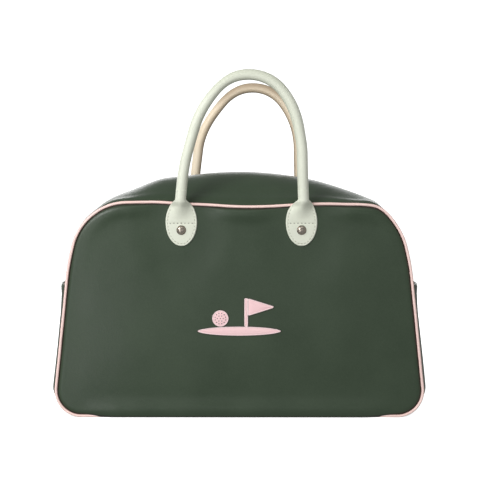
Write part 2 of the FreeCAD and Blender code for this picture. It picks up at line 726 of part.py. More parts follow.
def zip_pull(pin_height):
    """Wire link on the bridge's pin hole, and the leather pull that lies along the zip from there, its tip down."""
    bar, link_length, link_half, arm = 1.1, 11.0, 3.6, 1.3
    dip = 6.5
    pin = Vector(0, 0, pin_height)
    turned = Rotation(Vector(0, 1, 0), -dip) * Rotation(Vector(0, 0, 1), 180)
    place = along_zip(dim("slider_rest")) * Placement(pin, turned)

    def draw_link(sketch):
        draw_rectangle(sketch, -bar / 2, -link_half, link_length, 2 * link_half)
        draw_rectangle(sketch, bar / 2, arm - link_half, link_length - 2 * bar, 2 * (link_half - arm))

    link = padded_body("zip_pull_link", "XY_Plane", -bar / 2, draw_link, str(bar))
    link.Placement = place
    start = link_length - bar / 2 + 0.15

    def draw_pull(sketch):
        draw_rectangle(sketch, start, -dim("pull_half_width"), dim("pull_length"), 2 * dim("pull_half_width"),
                       ("[pull_length]", "2 * [pull_half_width]"))

    pull = padded_body("zip_pull_tab", "XY_Plane", -dim("pull") / 2, draw_pull, "[pull]")
    pull.Placement = place


# ---- emblem: a plain flag, ball and ground, cut from leather and sewn on ----

def emblem():
    middle, half = dim("emblem_height"), dim("emblem_half_width")
    front = FACE + 0.05
    ground_top, ground_low, ground_line = middle - 11.0, middle - 21.0, middle - 17.0
    pole_x, pole_half, flag_low, flag_top, flag_length = 8.0, 1.9, middle + 2.0, middle + 22.0, 32.0

    def draw_ground(sketch):
        left, right = Vector(-half, ground_line, 0), Vector(half, ground_line, 0)
        sketch.addGeometry(Part.Arc(right, Vector(0, ground_top, 0), left), False)
        sketch.addGeometry(Part.Arc(left, Vector(0, ground_low, 0), right), False)

    def draw_pole(sketch):
        low = ground_top + 0.4
        draw_rectangle(sketch, pole_x - pole_half, low, 2 * pole_half, flag_top - low)

    def draw_flag(sketch):
        near = pole_x + pole_half + 0.2
        draw_loop(sketch, [(near, flag_low), (near + flag_length, (flag_low + flag_top) / 2), (near, flag_top)])

    def draw_ball(sketch):
        draw_circle(sketch, -22, middle - 1.2, 9.2)

    for label, draw in (("emblem_ground", draw_ground), ("emblem_pole", draw_pole),
                        ("emblem_flag", draw_flag), ("emblem_ball", draw_ball)):
        padded_body(label, "XZ_Plane", front, draw, "[emblem]")


# ---- assembly ----

def check():
    """Stops the script if any object failed or any sub-part is empty or broken."""
    doc.recompute()
    failed = [obj.Name for obj in doc.Objects if {"Invalid", "Error"} & set(obj.State)]
    broken = [obj.Label for obj in NODES if obj.Shape.isNull() or not obj.Shape.isValid() or obj.Shape.Volume <= 0]
    if failed or broken:
        raise RuntimeError(f"failed objects {failed}, broken sub-parts {broken}")


panels()
piping()
bottom_gusset()
zip_gussets()
panel_linings()
seam_bindings()
backing_patches()
base_board()
zip_rows()
zip_stops()
zip_end_covers()
handles()
handle_tabs()
rivets()
zip_pull(zip_slider())
emblem()
check()

os.makedirs("parts", exist_ok=True)
for obj in NODES:
    obj.Shape.exportStep(f"parts/{obj.Label}.step")
    print(f"{obj.Label}: {obj.Shape.Volume:.1f} mm3, {len(obj.Shape.Solids)} solid(s)")
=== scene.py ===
import json
import math

import bmesh
import bpy
import numpy as np
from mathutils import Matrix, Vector
from mathutils.kdtree import KDTree


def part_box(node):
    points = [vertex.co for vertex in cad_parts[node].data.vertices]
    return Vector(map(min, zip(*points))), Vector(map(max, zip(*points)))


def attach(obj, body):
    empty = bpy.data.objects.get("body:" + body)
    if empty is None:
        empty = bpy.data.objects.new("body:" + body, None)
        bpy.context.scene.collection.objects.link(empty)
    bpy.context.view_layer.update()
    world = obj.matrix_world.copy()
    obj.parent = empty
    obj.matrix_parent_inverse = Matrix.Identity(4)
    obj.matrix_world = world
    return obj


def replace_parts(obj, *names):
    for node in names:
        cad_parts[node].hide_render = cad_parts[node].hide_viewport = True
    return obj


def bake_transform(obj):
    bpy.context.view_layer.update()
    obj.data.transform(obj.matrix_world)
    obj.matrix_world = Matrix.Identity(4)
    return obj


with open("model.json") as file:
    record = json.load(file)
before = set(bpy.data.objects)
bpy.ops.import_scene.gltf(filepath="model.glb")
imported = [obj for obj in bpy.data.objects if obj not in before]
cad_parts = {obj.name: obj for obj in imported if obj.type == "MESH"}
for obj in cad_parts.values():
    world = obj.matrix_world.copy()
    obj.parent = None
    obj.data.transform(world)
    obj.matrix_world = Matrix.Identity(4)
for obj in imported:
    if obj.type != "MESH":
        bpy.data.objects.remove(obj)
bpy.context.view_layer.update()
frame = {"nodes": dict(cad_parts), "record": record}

# Lengths in this script are millimetres in the shared frame, and become metres where a mesh is made.
MM = 0.001

# ---- sizes that the frame gives ----


def node_box(name):
    """A node's lowest and highest corners, in millimetres."""
    low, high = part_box(name)
    return np.array(low) / MM, np.array(high) / MM


PIPING_LOW, PIPING_HIGH = node_box("front_piping_cover")
SEAM = -(PIPING_LOW[1] + PIPING_HIGH[1]) / 2
PIPING_RADIUS = (PIPING_HIGH[1] - PIPING_LOW[1]) / 2
PANEL_TOP = PIPING_HIGH[2] - PIPING_RADIUS
CROWN = node_box("zip_gusset_front")[1][2] + 0.5
JOINTS = {joint["name"]: joint for joint in frame["record"]["behaviour"]["joints"]}
HANDLE_AXIS = -JOINTS["front_handle_fold"]["pos_m"][1] / MM
HINGE = JOINTS["front_handle_fold"]["pos_m"][2] / MM
ZIP_CENTRE = JOINTS["zip_travel"]["pos_m"][2] / MM
PIN_X, _, PIN_Z = (value / MM for value in JOINTS["zip_pull_swing"]["pos_m"])
SLIDER_TURN = math.atan2(PIN_X, PIN_Z - ZIP_CENTRE)
HANDLE_SHIFT = {name: sum(node_box(f"{name}_handle_core"))[0] / 2 for name in ("front", "rear")}
SIDES = (("front", -1), ("rear", 1))

# ---- shape of the bag, the same arcs as the CAD part ----

SIDE_LEAN, FLANK_TURN, FLANK_RADIUS = 6.0, 15.0, 250.0
NOTCH_HALF, NOTCH_HEIGHT = 201.9, 153.0
PANEL_TOP_RADIUS, CROWN_RADIUS = 6000.0, 360.0
CORNER_RADIUS, CROWN_CORNER_RADIUS, FOOT_RADIUS = 66.0, 42.0, 30.0
LIP = 7.0                    # from the zip's middle to the folded edge of the leather
GUSSET_EDGE = SEAM - PIPING_RADIUS - 0.05
FACE = SEAM + 0.6            # the panel's face under the tabs
ZIP_REACH = 27.1             # degrees along the zip's arc, each way
LEATHER, LINING_CLOTH = 1.4, 0.5     # thicknesses


def normal(degrees):
    angle = np.radians(degrees)
    return np.array([np.cos(angle), np.sin(angle)])


def mirrored(arcs):
    return [(np.array([-c[0], c[1]]), r, 180 - end, 180 - start) for c, r, start, end in reversed(arcs)]


def follow(arcs, first=None, last=None, count=200, closed=False):
    """Evenly spaced points (x, z) and outward normals along arcs joined by tangent lines."""
    points, normals, length = [], [], 0.0
    where = []

    def add(point, outward):
        nonlocal length
        if points:
            length += float(np.linalg.norm(point - points[-1]))
        points.append(point)
        normals.append(outward)
        where.append(length)

    if first is not None:
        add(np.array(first, float), normal(arcs[0][2]))
    for centre, radius, start, end in arcs:
        steps = max(2, int(abs(end - start) * radius / 60))
        for angle in np.linspace(start, end, steps + 1):
            add(centre + normal(angle) * radius, normal(angle))
    if last is not None:
        add(np.array(last, float), normal(arcs[-1][3]))
    if closed:
        add(points[0], normals[0])
    at = np.linspace(0, length, count + 1 if closed else count)
    if closed:
        at = at[:-1]
    points, normals = np.array(points), np.array(normals)
    spot = np.stack([np.interp(at, where, points[:, i]) for i in (0, 1)], axis=1)
    out = np.stack([np.interp(at, where, normals[:, i]) for i in (0, 1)], axis=1)
    return spot, out / np.linalg.norm(out, axis=1, keepdims=True)


def arch_arcs(share):
    """Arcs over the top: share 0 at the panels' seam, 1 at the zip's edge."""
    crown = PANEL_TOP + share * (CROWN - PANEL_TOP)
    top = 1 / ((1 - share) / PANEL_TOP_RADIUS + share / CROWN_RADIUS)
    corner = CORNER_RADIUS + share * (CROWN_CORNER_RADIUS - CORNER_RADIUS)
    notch = np.array([NOTCH_HALF + share, NOTCH_HEIGHT])
    top_centre = np.array([0.0, crown - top])
    reach = (notch - top_centre) @ normal(SIDE_LEAN) - FLANK_RADIUS
    reach -= (corner - FLANK_RADIUS) * math.cos(math.radians(FLANK_TURN - SIDE_LEAN))
    spread = math.degrees(math.asin(reach / (top - corner))) - SIDE_LEAN
    corner_centre = top_centre + normal(90 - spread) * (top - corner)
    flank_centre = corner_centre + normal(FLANK_TURN) * (corner - FLANK_RADIUS)
    right = [(flank_centre, FLANK_RADIUS, SIDE_LEAN, FLANK_TURN),
             (corner_centre, corner, FLANK_TURN, 90 - spread)]
    return right + [(top_centre, top, 90 - spread, 90 + spread)] + mirrored(right), notch


def crown_share(depth):
    along = (GUSSET_EDGE - depth) / (GUSSET_EDGE - LIP)
    return along * (1.88 - 0.88 * along)


def foot_arcs():
    """Right and left bottom corners."""
    height = PIPING_RADIUS + FOOT_RADIUS
    side = np.array([NOTCH_HALF, NOTCH_HEIGHT]) @ normal(SIDE_LEAN)
    tilt = math.radians(SIDE_LEAN)
    across = (side - FOOT_RADIUS - height * math.sin(tilt)) / math.cos(tilt)
    right = [(np.array([across, height]), FOOT_RADIUS, 270, 360 + SIDE_LEAN)]
    return mirrored_foot(right[0]) + right


def mirrored_foot(arc):
    centre, radius, _, end = arc
    return [(np.array([-centre[0], centre[1]]), radius, 540 - end, 270)]


def outline(count):
    """The whole piping line, from the right flank over the top, round and back."""
    return follow(arch_arcs(0)[0] + foot_arcs(), count=count, closed=True)


FOOT_X = foot_arcs()[1][0][0]

# ---- soft shape: how the filled leather departs from the drawn arcs ----


def smooth(low, high, value):
    t = np.clip((value - low) / (high - low), 0, 1)
    return t * t * (3 - 2 * t)


def ripple(x, z, seed, scale):
    """Slow unevenness, between -1 and 1."""
    total = np.zeros_like(np.asarray(x, float))
    draw = np.random.RandomState(seed)
    for _ in range(6):
        across, up, phase = draw.uniform(-1, 1), draw.uniform(-1, 1), draw.uniform(0, 6.28)
        total += np.sin((across * x + up * z) / scale * 2 + phase)
    return total / 3.2


def settle(points):
    """Sag of the top edge between the handles' legs, and its fuller right shoulder; less near the zip."""
    x, y, z = points[..., 0], points[..., 1], points[..., 2]
    high = smooth(165, 248, z) * smooth(35, 84, np.abs(y))
    drop = -4.6 * np.exp(-((x - 12) / 56) ** 2) + 1.9 * smooth(-60, -105, x) - 0.5 * smooth(90, 150, x)
    drop += 5.0 * np.exp(-((x - 166) / 19) ** 2)
    result = points.copy()
    result[..., 2] += drop * high * np.where(y < 0, 1.0, 0.6)
    return result


# ---- meshes ----


def mesh_object(name, points, faces, finish, body="bag", smooth_shade=True):
    """Piece made of points in millimetres, on a body; finish is a slot of the record and a material."""
    slot, material = finish
    mesh = bpy.data.meshes.new(name)
    mesh.from_pydata((np.asarray(points, float) * MM).tolist(), [], faces)
    mesh.validate()
    mesh.update()
    if smooth_shade:
        mesh.polygons.foreach_set("use_smooth", [True] * len(mesh.polygons))
    mesh.materials.append(material)
    piece = bpy.data.objects.new(name, mesh)
    bpy.context.scene.collection.objects.link(piece)
    fix_normals(piece)
    if body:
        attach(piece, body)
    return piece


def fix_normals(piece):
    work = bmesh.new()
    work.from_mesh(piece.data)
    bmesh.ops.remove_doubles(work, verts=work.verts, dist=1e-7)
    bmesh.ops.recalc_face_normals(work, faces=work.faces)
    work.to_mesh(piece.data)
    work.free()


def upright(line, y):
    """(x, z) points as (x, y, z) points; y is one number or a row of them."""
    return np.stack([line[:, 0], np.broadcast_to(y, len(line)), line[:, 1]], axis=1)


def grid_faces(rows, columns, start=0, wrap_rows=False, wrap_columns=False):
    faces = []
    for i in range(rows if wrap_rows else rows - 1):
        for j in range(columns if wrap_columns else columns - 1):
            a = start + i * columns + j
            b = start + i * columns + (j + 1) % columns
            c = start + ((i + 1) % rows) * columns + (j + 1) % columns
            d = start + ((i + 1) % rows) * columns + j
            faces.append((a, b, c, d))
    return faces


def loft_faces(rows, columns, start=0):
    """Faces of a closed piece through rings of points, with a cap at each end."""
    last = start + (rows - 1) * columns
    caps = [tuple(start + j for j in reversed(range(columns))), tuple(last + j for j in range(columns))]
    return grid_faces(rows, columns, start, wrap_columns=True) + caps


def inward_normals(grid, inward):
    """Unit normals of a rows x columns grid of points, on the side that inward(grid) roughly points to."""
    out = np.cross(np.gradient(grid, axis=0), np.gradient(grid, axis=1))
    out = out / np.maximum(np.linalg.norm(out, axis=2, keepdims=True), 1e-9)
    return out * np.sign(np.sum(out * inward(grid), axis=2, keepdims=True))


def shell(name, face, back, finish, body="bag"):
    """Closed sheet between two grids of points."""
    rows, columns, _ = face.shape
    count = rows * columns
    faces = grid_faces(rows, columns) + [tuple(reversed(f)) for f in grid_faces(rows, columns, count)]
    rim = [i * columns for i in range(rows)] + [(rows - 1) * columns + j for j in range(1, columns)]
    rim += [i * columns + columns - 1 for i in range(rows - 2, -1, -1)] + list(range(columns - 2, 0, -1))
    faces += [(a, b, b + count, a + count) for a, b in zip(rim, rim[1:] + rim[:1])]
    return mesh_object(name, np.concatenate([face.reshape(-1, 3), back.reshape(-1, 3)]), faces, finish, body)


def slab(name, grid, thickness, inward, finish):
    """Closed sheet of leather or cloth under a grid of surface points."""
    return shell(name, grid, grid + inward_normals(grid, inward) * thickness, finish)


def towards(x, y, z):
    """Rough direction from each point of a grid to one place."""
    return lambda grid: np.array([x, y, z], float) - grid


def lofted_piece(name, sections, place, finish, body="bag"):
    """Closed piece through rings of equal count, carried by place."""
    grid = np.array(sections)
    rows, columns, _ = grid.shape
    return mesh_object(name, place(grid.reshape(-1, 3)), loft_faces(rows, columns), finish, body)


def frames_along(path, closed, up):
    """Tangents and two cross directions along a path; up is a direction never parallel to it."""
    if closed:
        tangent = np.roll(path, -1, axis=0) - np.roll(path, 1, axis=0)
    else:
        tangent = np.gradient(path, axis=0)
    tangent /= np.linalg.norm(tangent, axis=1, keepdims=True)
    side = np.cross(tangent, up)
    side /= np.linalg.norm(side, axis=1, keepdims=True)
    return tangent, side, np.cross(side, tangent)


def tube(name, path, radius, sides, finish, body="bag", closed=False, up=(0, 1, 0), swell=None):
    """Round bead along a path, with a fan of faces over each end where it is open."""
    path = np.asarray(path, float)
    _, side, lift = frames_along(path, closed, np.array(up, float))
    turn = np.linspace(0, 2 * np.pi, sides, endpoint=False)
    ring = np.cos(turn)[None, :, None] * side[:, None, :] + np.sin(turn)[None, :, None] * lift[:, None, :]
    radii = np.full(len(path), float(radius)) if swell is None else radius * swell
    points = path[:, None, :] + ring * radii[:, None, None]
    flat = points.reshape(-1, 3)
    faces = grid_faces(len(path), sides, wrap_rows=closed, wrap_columns=True)
    if not closed:
        count = len(flat)
        flat = np.concatenate([flat, path[[0, -1]]])
        for j in range(sides):
            k = (j + 1) % sides
            faces.append((k, j, count))
            base = (len(path) - 1) * sides
            faces.append((base + j, base + k, count + 1))
    return mesh_object(name, flat, faces, finish, body)


def stitches(name, path, outward, pitch, length, radius, finish, body="bag", sink=0.35):
    """Row of thread stitches along a path: each a small capsule that dips in at both ends."""
    path, outward = np.asarray(path, float), np.asarray(outward, float)
    steps = np.linalg.norm(np.diff(path, axis=0), axis=1)
    where = np.concatenate([[0], np.cumsum(steps)])
    count = max(1, int(where[-1] / pitch))
    sections, sides = 5, 6
    points, faces = [], []
    turn = np.linspace(0, 2 * np.pi, sides, endpoint=False)
    for index in range(count):
        middle = (index + 0.5) * where[-1] / count
        at = middle + np.linspace(-0.5, 0.5, sections) * length
        spots = np.stack([np.interp(at, where, path[:, i]) for i in range(3)], axis=1)
        out = np.array([np.interp(middle, where, outward[:, i]) for i in range(3)])
        out /= np.linalg.norm(out)
        along = spots[-1] - spots[0]
        along /= max(np.linalg.norm(along), 1e-9)
        side = np.cross(along, out)
        start = len(points)
        for k, spot in enumerate(spots):
            t = k / (sections - 1) * 2 - 1
            thick = radius * math.sqrt(max(0.12, 1 - abs(t) ** 3))
            centre = spot + out * (radius * 0.35 - sink * abs(t) ** 3)
            for angle in turn:
                points.append(centre + side * math.cos(angle) * thick + out * math.sin(angle) * thick * 0.8)
        faces += loft_faces(sections, sides, start)
    return mesh_object(name, np.array(points), faces, finish, body)


def revolved(name, profile, centre, axis, finish, sides=48):
    """Turned piece: profile is (radius, height) pairs along the axis from its seat."""
    axis = np.array(axis, float)
    side = np.array([1.0, 0, 0])
    other = np.cross(axis, side)
    turn = np.linspace(0, 2 * np.pi, sides, endpoint=False)
    ring = np.cos(turn)[:, None] * side + np.sin(turn)[:, None] * other
    points = np.array([np.array(centre) + ring[j] * r + axis * h for r, h in profile for j in range(sides)])
    return mesh_object(name, points, loft_faces(len(profile), sides), finish)


# ---- materials ----


def new_material(name):
    material = bpy.data.materials.new(name)
    material.use_nodes = True
    tree = material.node_tree
    return material, tree, tree.nodes["Principled BSDF"]


def feed(tree, node, inputs):
    """Sets a node's inputs: another node's output is linked, and a plain value is set on the socket."""
    for key, value in inputs.items():
        if isinstance(value, bpy.types.NodeSocket):
            tree.links.new(value, node.inputs[key])
        else:
            node.inputs[key].default_value = value


def add_node(tree, kind, inputs, **settings):
    made = tree.nodes.new("ShaderNode" + kind)
    for key, value in settings.items():
        setattr(made, key, value)
    feed(tree, made, inputs)
    return made


def texture(tree, kind, inputs, output="Fac", **settings):
    """Procedural texture over the object's own coordinates."""
    place = add_node(tree, "TexCoord", {}).outputs["Object"]
    return add_node(tree, kind, {"Vector": place, **inputs}, **settings).outputs[output]


def noise(tree, scale, detail, roughness=0.5, distortion=0.0):
    return texture(tree, "TexNoise", {"Scale": scale, "Detail": detail, "Roughness": roughness,
                                      "Distortion": distortion})


def calculate(tree, operation, *values):
    return add_node(tree, "Math", dict(enumerate(values)), operation=operation).outputs[0]


def ramp(tree, source, stops):
    """Colour ramp over a 0 to 1 value; stops are (place, (r, g, b))."""
    made = add_node(tree, "ValToRGB", {"Fac": source})
    for element, (place, colour) in zip(made.color_ramp.elements, stops):
        element.position = place
        element.color = (*colour, 1)
    return made.outputs["Color"]


def bump(tree, height, strength, distance, below=None):
    inputs = {"Strength": strength, "Distance": distance, "Height": height}
    if below:
        inputs["Normal"] = below
    return add_node(tree, "Bump", inputs).outputs["Normal"]


def leather(name, dark, light, roughness, grain=0.9, relief=0.00012, shine=0.5, shade_colour=None):
    """Leather with a pebbled grain, finer pores, slow colour changes and a rubbed sheen; where a piece asks
    for it, painted shade darkens its colour.
    """
    material, tree, shader = new_material(name)
    cells = texture(tree, "TexVoronoi", {"Scale": 1000 / grain, "Randomness": 1.0}, "Distance",
                    feature="SMOOTH_F1")
    pores = noise(tree, 2600.0, 3.0, 0.6)
    slow = noise(tree, 17.0, 4.0, 0.55)
    folds = noise(tree, 60.0, 2.0)
    mottle = noise(tree, 360.0, 3.0, 0.6)
    spotted = calculate(tree, "MULTIPLY_ADD", mottle, 0.35, calculate(tree, "MULTIPLY", cells, 0.3))
    mixed = calculate(tree, "MULTIPLY_ADD", slow, 0.75, spotted)
    colour = ramp(tree, mixed, [(0.37, dark), (0.93, light)])
    # Painted shade: a per-point attribute mixes the colour towards a darker one, standing in for shade in
    # seams and on the shaded sides of round parts.
    if shade_colour:
        shade_amount = add_node(tree, "Attribute", {}, attribute_name="painted_shade").outputs["Fac"]
        both = {"Factor": shade_amount, "A": colour, "B": (*shade_colour, 1)}
        colour = add_node(tree, "Mix", both, data_type="RGBA").outputs["Result"]
    rough = add_node(tree, "MapRange", {"Value": slow, "From Min": 0.3, "From Max": 0.7,
                                        "To Min": roughness - 0.06, "To Max": roughness + 0.08})
    normals = bump(tree, folds, 0.25, 0.0006)
    normals = bump(tree, cells, 0.6, relief, normals)
    normals = bump(tree, pores, 0.35, relief * 0.5, normals)
    feed(tree, shader, {"Base Color": colour, "Roughness": rough.outputs["Result"], "Normal": normals,
                        "Specular IOR Level": shine})
    return material


def metal(name, colour, roughness, wear=0.25):
    """Plated metal with faint brushing and small dull spots."""
    material, tree, shader = new_material(name)
    spots = noise(tree, 900.0, 4.0, 0.65)
    worn = tuple(c * (1 - wear) for c in colour)
    rough = add_node(tree, "MapRange", {"Value": spots, "To Min": roughness - 0.05,
                                        "To Max": roughness + 0.12})
    feed(tree, shader, {"Base Color": ramp(tree, spots, [(0.35, worn), (0.6, colour)]), "Metallic": 1.0,
                        "Roughness": rough.outputs["Result"],
                        "Normal": bump(tree, noise(tree, 3000.0, 2.0), 0.15, 0.00003)})
    return material


def cloth(name, dark, light, thread=0.5):
    """Plain weave of threads, with slubs."""
    material, tree, shader = new_material(name)
    weft, warp = (texture(tree, "TexWave", {"Scale": 1000 / thread / 6.28, "Distortion": 0.6, "Detail": 1.0,
                                            "Detail Scale": 2.0}, bands_direction=way) for way in ("X", "Z"))
    weave = calculate(tree, "MULTIPLY", weft, warp)
    slubbed = calculate(tree, "ADD", weave, noise(tree, 300.0, 3.0))
    feed(tree, shader, {"Base Color": ramp(tree, slubbed, [(0.3, dark), (1.0, light)]), "Roughness": 0.85,
                        "Sheen Weight": 0.2, "Normal": bump(tree, weave, 0.6, 0.0002)})
    return material


def thread_finish(name, dark, light):
    """Twisted sewing thread."""
    material, tree, shader = new_material(name)
    twist = texture(tree, "TexWave", {"Scale": 900.0, "Distortion": 1.5}, bands_direction="DIAGONAL")
    feed(tree, shader, {"Base Color": ramp(tree, twist, [(0.2, dark), (0.8, light)]), "Roughness": 0.7,
                        "Normal": bump(tree, twist, 0.5, 0.0001)})
    return material


def fibre_board(name, dark, light):
    material, tree, shader = new_material(name)
    fibres = noise(tree, 400.0, 5.0, distortion=1.0)
    feed(tree, shader, {"Base Color": ramp(tree, fibres, [(0.3, dark), (0.7, light)]), "Roughness": 0.9,
                        "Normal": bump(tree, fibres, 0.4, 0.0002)})
    return material


# A finish is a slot of the record and a material.
# The last colour given to the green leather is painted shade, for the seam crease along the piping.
GREEN = "leather_green", leather("green_leather", (0.028, 0.046, 0.0255), (0.042, 0.065, 0.0375), 0.36,
                                 shine=0.36, shade_colour=(0.018, 0.013, 0.009))
# The last colour given to the mint leather is painted shade, for the edges and top of the handles' outer
# wraps.
MINT = "leather_mint", leather("mint_leather", (0.66, 0.69, 0.57), (0.76, 0.785, 0.67), 0.5, grain=0.7,
                               relief=0.00006, shade_colour=(0.60, 0.63, 0.51))
# The last colour given to the cream leather is painted shade, for the edges and top of the handles' inner
# wraps.
CREAM = "leather_cream", leather("cream_leather", (0.84, 0.70, 0.51), (0.93, 0.81, 0.63), 0.5, grain=0.7,
                                 relief=0.00006, shade_colour=(0.34, 0.245, 0.15))
# The last colour given to the pink leather is painted shade, for the sides of the piping bead.
PINK = "leather_pink", leather("pink_leather", (0.90, 0.64, 0.59), (0.98, 0.75, 0.70), 0.38, grain=0.6,
                               relief=0.00005, shade_colour=(0.60, 0.33, 0.28))
EMBLEM_PINK = "leather_pink", leather("emblem_leather", (0.88, 0.56, 0.58), (0.95, 0.67, 0.68), 0.5,
                                      grain=0.6, relief=0.00006)
LINING = "lining_cloth", cloth("lining_weave", (0.28, 0.24, 0.18), (0.5, 0.44, 0.35))
TAPE = "zip_tape_cloth", cloth("zip_tape_weave", (0.02, 0.028, 0.02), (0.045, 0.06, 0.045), thread=0.35)
ROPE = "rope", cloth("rope_cotton", (0.5, 0.46, 0.38), (0.74, 0.7, 0.6), thread=1.2)
NICKEL = "rivet_metal", metal("rivet_nickel", (0.44, 0.39, 0.33), 0.2)
# A near-black nickel for a ring round each rivet's cap, painted shade where the cap meets the leather.
RIVET_SHADE = "rivet_metal", metal("rivet_rim_painted_shade", (0.16, 0.13, 0.105), 0.34)
ZIP_NICKEL = "zip_metal", metal("zip_nickel", (0.66, 0.64, 0.6), 0.26)
GREEN_THREAD = "leather_green", thread_finish("green_thread", (0.03, 0.042, 0.03), (0.075, 0.1, 0.07))
# A dark brown for a cord round each emblem patch, which is painted shadow on the panel.
EMBLEM_SHADOW = "leather_green", thread_finish("emblem_painted_shadow", (0.03, 0.03, 0.02), (0.07, 0.06, 0.045))
# The two mint threads are darker than the leather: the thread's own tone together with painted shade of the
# holes the stitches sit in.
MINT_THREAD_AND_SHADE = "leather_mint", thread_finish("mint_thread_and_painted_shade", (0.38, 0.39, 0.31), (0.55, 0.56, 0.46))
DARK_THREAD_AND_SHADE = "leather_mint", thread_finish("dark_thread_and_painted_shade", (0.17, 0.17, 0.135), (0.3, 0.3, 0.24))
PINK_THREAD = "leather_pink", thread_finish("pink_thread", (0.84, 0.62, 0.62), (0.95, 0.80, 0.79))
BOARD_MATERIAL = fibre_board("board_finish", (0.10, 0.07, 0.045), (0.2, 0.15, 0.1))

# ---- panels ----


def coons(boundary, rows, columns):
    """Grid of points between four sides: boundary gives the right, top, left and bottom ones."""
    right, top, left, bottom = boundary
    u = np.linspace(0, 1, columns)[None, :, None]
    v = np.linspace(0, 1, rows)[:, None, None]
    bottom, top = bottom[None, :, :], top[::-1][None, :, :]
    left, right = left[::-1][:, None, :], right[:, None, :]
    ruled = (1 - v) * bottom + v * top + (1 - u) * left + u * right
    corners = ((1 - u) * (1 - v) * bottom[:, :1] + u * (1 - v) * bottom[:, -1:]
               + (1 - u) * v * top[:, :1] + u * v * top[:, -1:])
    return ruled - corners


def resample(points, count, bias=None):
    """Evenly spaced points along a polyline."""
    steps = np.linalg.norm(np.diff(points, axis=0), axis=1)
    where = np.concatenate([[0], np.cumsum(steps)])
    share = np.linspace(0, 1, count) if bias is None else bias(np.linspace(0, 1, count))
    at = share * where[-1]
    return np.stack([np.interp(at, where, points[:, i]) for i in range(points.shape[1])], axis=1)


def crowd_ends(t):
    """Spaces a row of points closer together at both ends."""
    return 0.5 - 0.5 * np.cos(np.pi * t) * (0.62 + 0.38 * np.cos(np.pi * t) ** 2)


def panel_net(inset):
    """Grid of (x, z) points over a panel, with its distance to the piping line."""
    rows, columns = 84, 132
    line, out = outline(1600)
    edge_line = line - out * inset
    angle = np.degrees(np.arctan2(out[:, 1], out[:, 0])) % 360
    marks = [int(np.argmin(np.abs((angle - a + 180) % 360 - 180))) for a in (50, 130, 225, 315)]
    sides = []
    for i, count in ((3, rows), (0, columns), (1, rows), (2, columns)):
        first, last = marks[i], marks[(i + 1) % 4]
        stretch = np.arange(first, (last if last > first else last + len(line)) + 1) % len(line)
        sides.append(resample(edge_line[stretch], count, crowd_ends))
    net = coons(sides, rows, columns)
    distance = np.concatenate([np.sqrt(((chunk[:, None, :] - line[None, ::2, :]) ** 2).sum(2)).min(1)
                               for chunk in np.array_split(net.reshape(-1, 2), 24)])
    return net, distance.reshape(rows, columns)


def bottom_window(x):
    """1 along the straight bottom, 0 at the corners."""
    return 1 - smooth(FOOT_X - 44, FOOT_X + 4, np.abs(x))


def tab_hold(x, z, shift, leg):
    """1 where the handle tabs hold the panel flat, 0 away from them."""
    free = np.ones_like(x)
    for place in (-1, 1):
        away = np.hypot((x - shift - place * leg) / 30, np.clip(232 - z, 0, None) / 45)
        free *= 1 - smooth(2.1, 0.72, away)
    return 1 - free


def panel_height(x, z, distance, side):
    """How far the panel's leather stands in front of the piping plane."""
    name = "front" if side < 0 else "rear"
    shoulder = 2.1 * np.sin(np.clip(distance - 1, 0, 6.5) / 6.5 * np.pi / 2) ** 0.8
    belly = 3.2 * smooth(4, 100, 210 - np.abs(x)) * smooth(0, 90, z) * smooth(262, 90, z)
    belly = belly * smooth(0, 16, distance)
    under = 3.2 * bottom_window(x) * np.exp(-((distance - 8.5) / 8.5) ** 2)
    drift = 0.55 * ripple(x, z, 3 if side < 0 else 9, 120) * smooth(6, 40, distance)
    hold = tab_hold(x, z, HANDLE_SHIFT[name], LEG_X)
    corner = 1.1 * np.exp(-((x - 128) / 34) ** 2 - ((z - 176) / 30) ** 2)
    full = shoulder + belly + under + drift + corner * smooth(6, 24, distance)
    return full * (1 - hold) + 0.75 * hold - 1.3 * (1 - smooth(1, 4, distance))


def panel_grid(side, inset, push):
    """Surface points of a panel layer, push behind the leather's face, and their distance to the seam."""
    net, distance = panel_net(inset)
    x, z = net[..., 0], net[..., 1]
    height = panel_height(x, z, distance, side) - push
    press = 4.4 * bottom_window(x) * smooth(11, 1.0, distance) * (z < 60)
    return settle(np.stack([x, side * (SEAM + height), np.maximum(z - press, 0.35)], axis=2)), distance


def panels():
    for name, side in SIDES:
        inward = lambda grid, s=side: np.array([0.0, -s, 0.0])
        grid, distance = panel_grid(side, 1.3, 0)
        sheet = slab(f"{name}_panel_leather", grid, LEATHER, inward, GREEN)
        # Painted shade: the panel's green darkens within about four millimetres of the piping, where the
        # seam lies in shade.
        painted_shade(sheet, nearest(sheet, grid, smooth(4.2, 2.0, distance)))
        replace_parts(sheet, f"{name}_panel")
        lining = slab(f"{name}_lining_cloth", panel_grid(side, 2.8, 2.6)[0], LINING_CLOTH, inward, LINING)
        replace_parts(lining, f"{name}_lining")


# ---- piping ----

BEAD = 1.7       # radius of the bead that shows, the rest is sunk in the seam
TUCK = 2.6       # the bead is pushed this far under the bag along the straight bottom


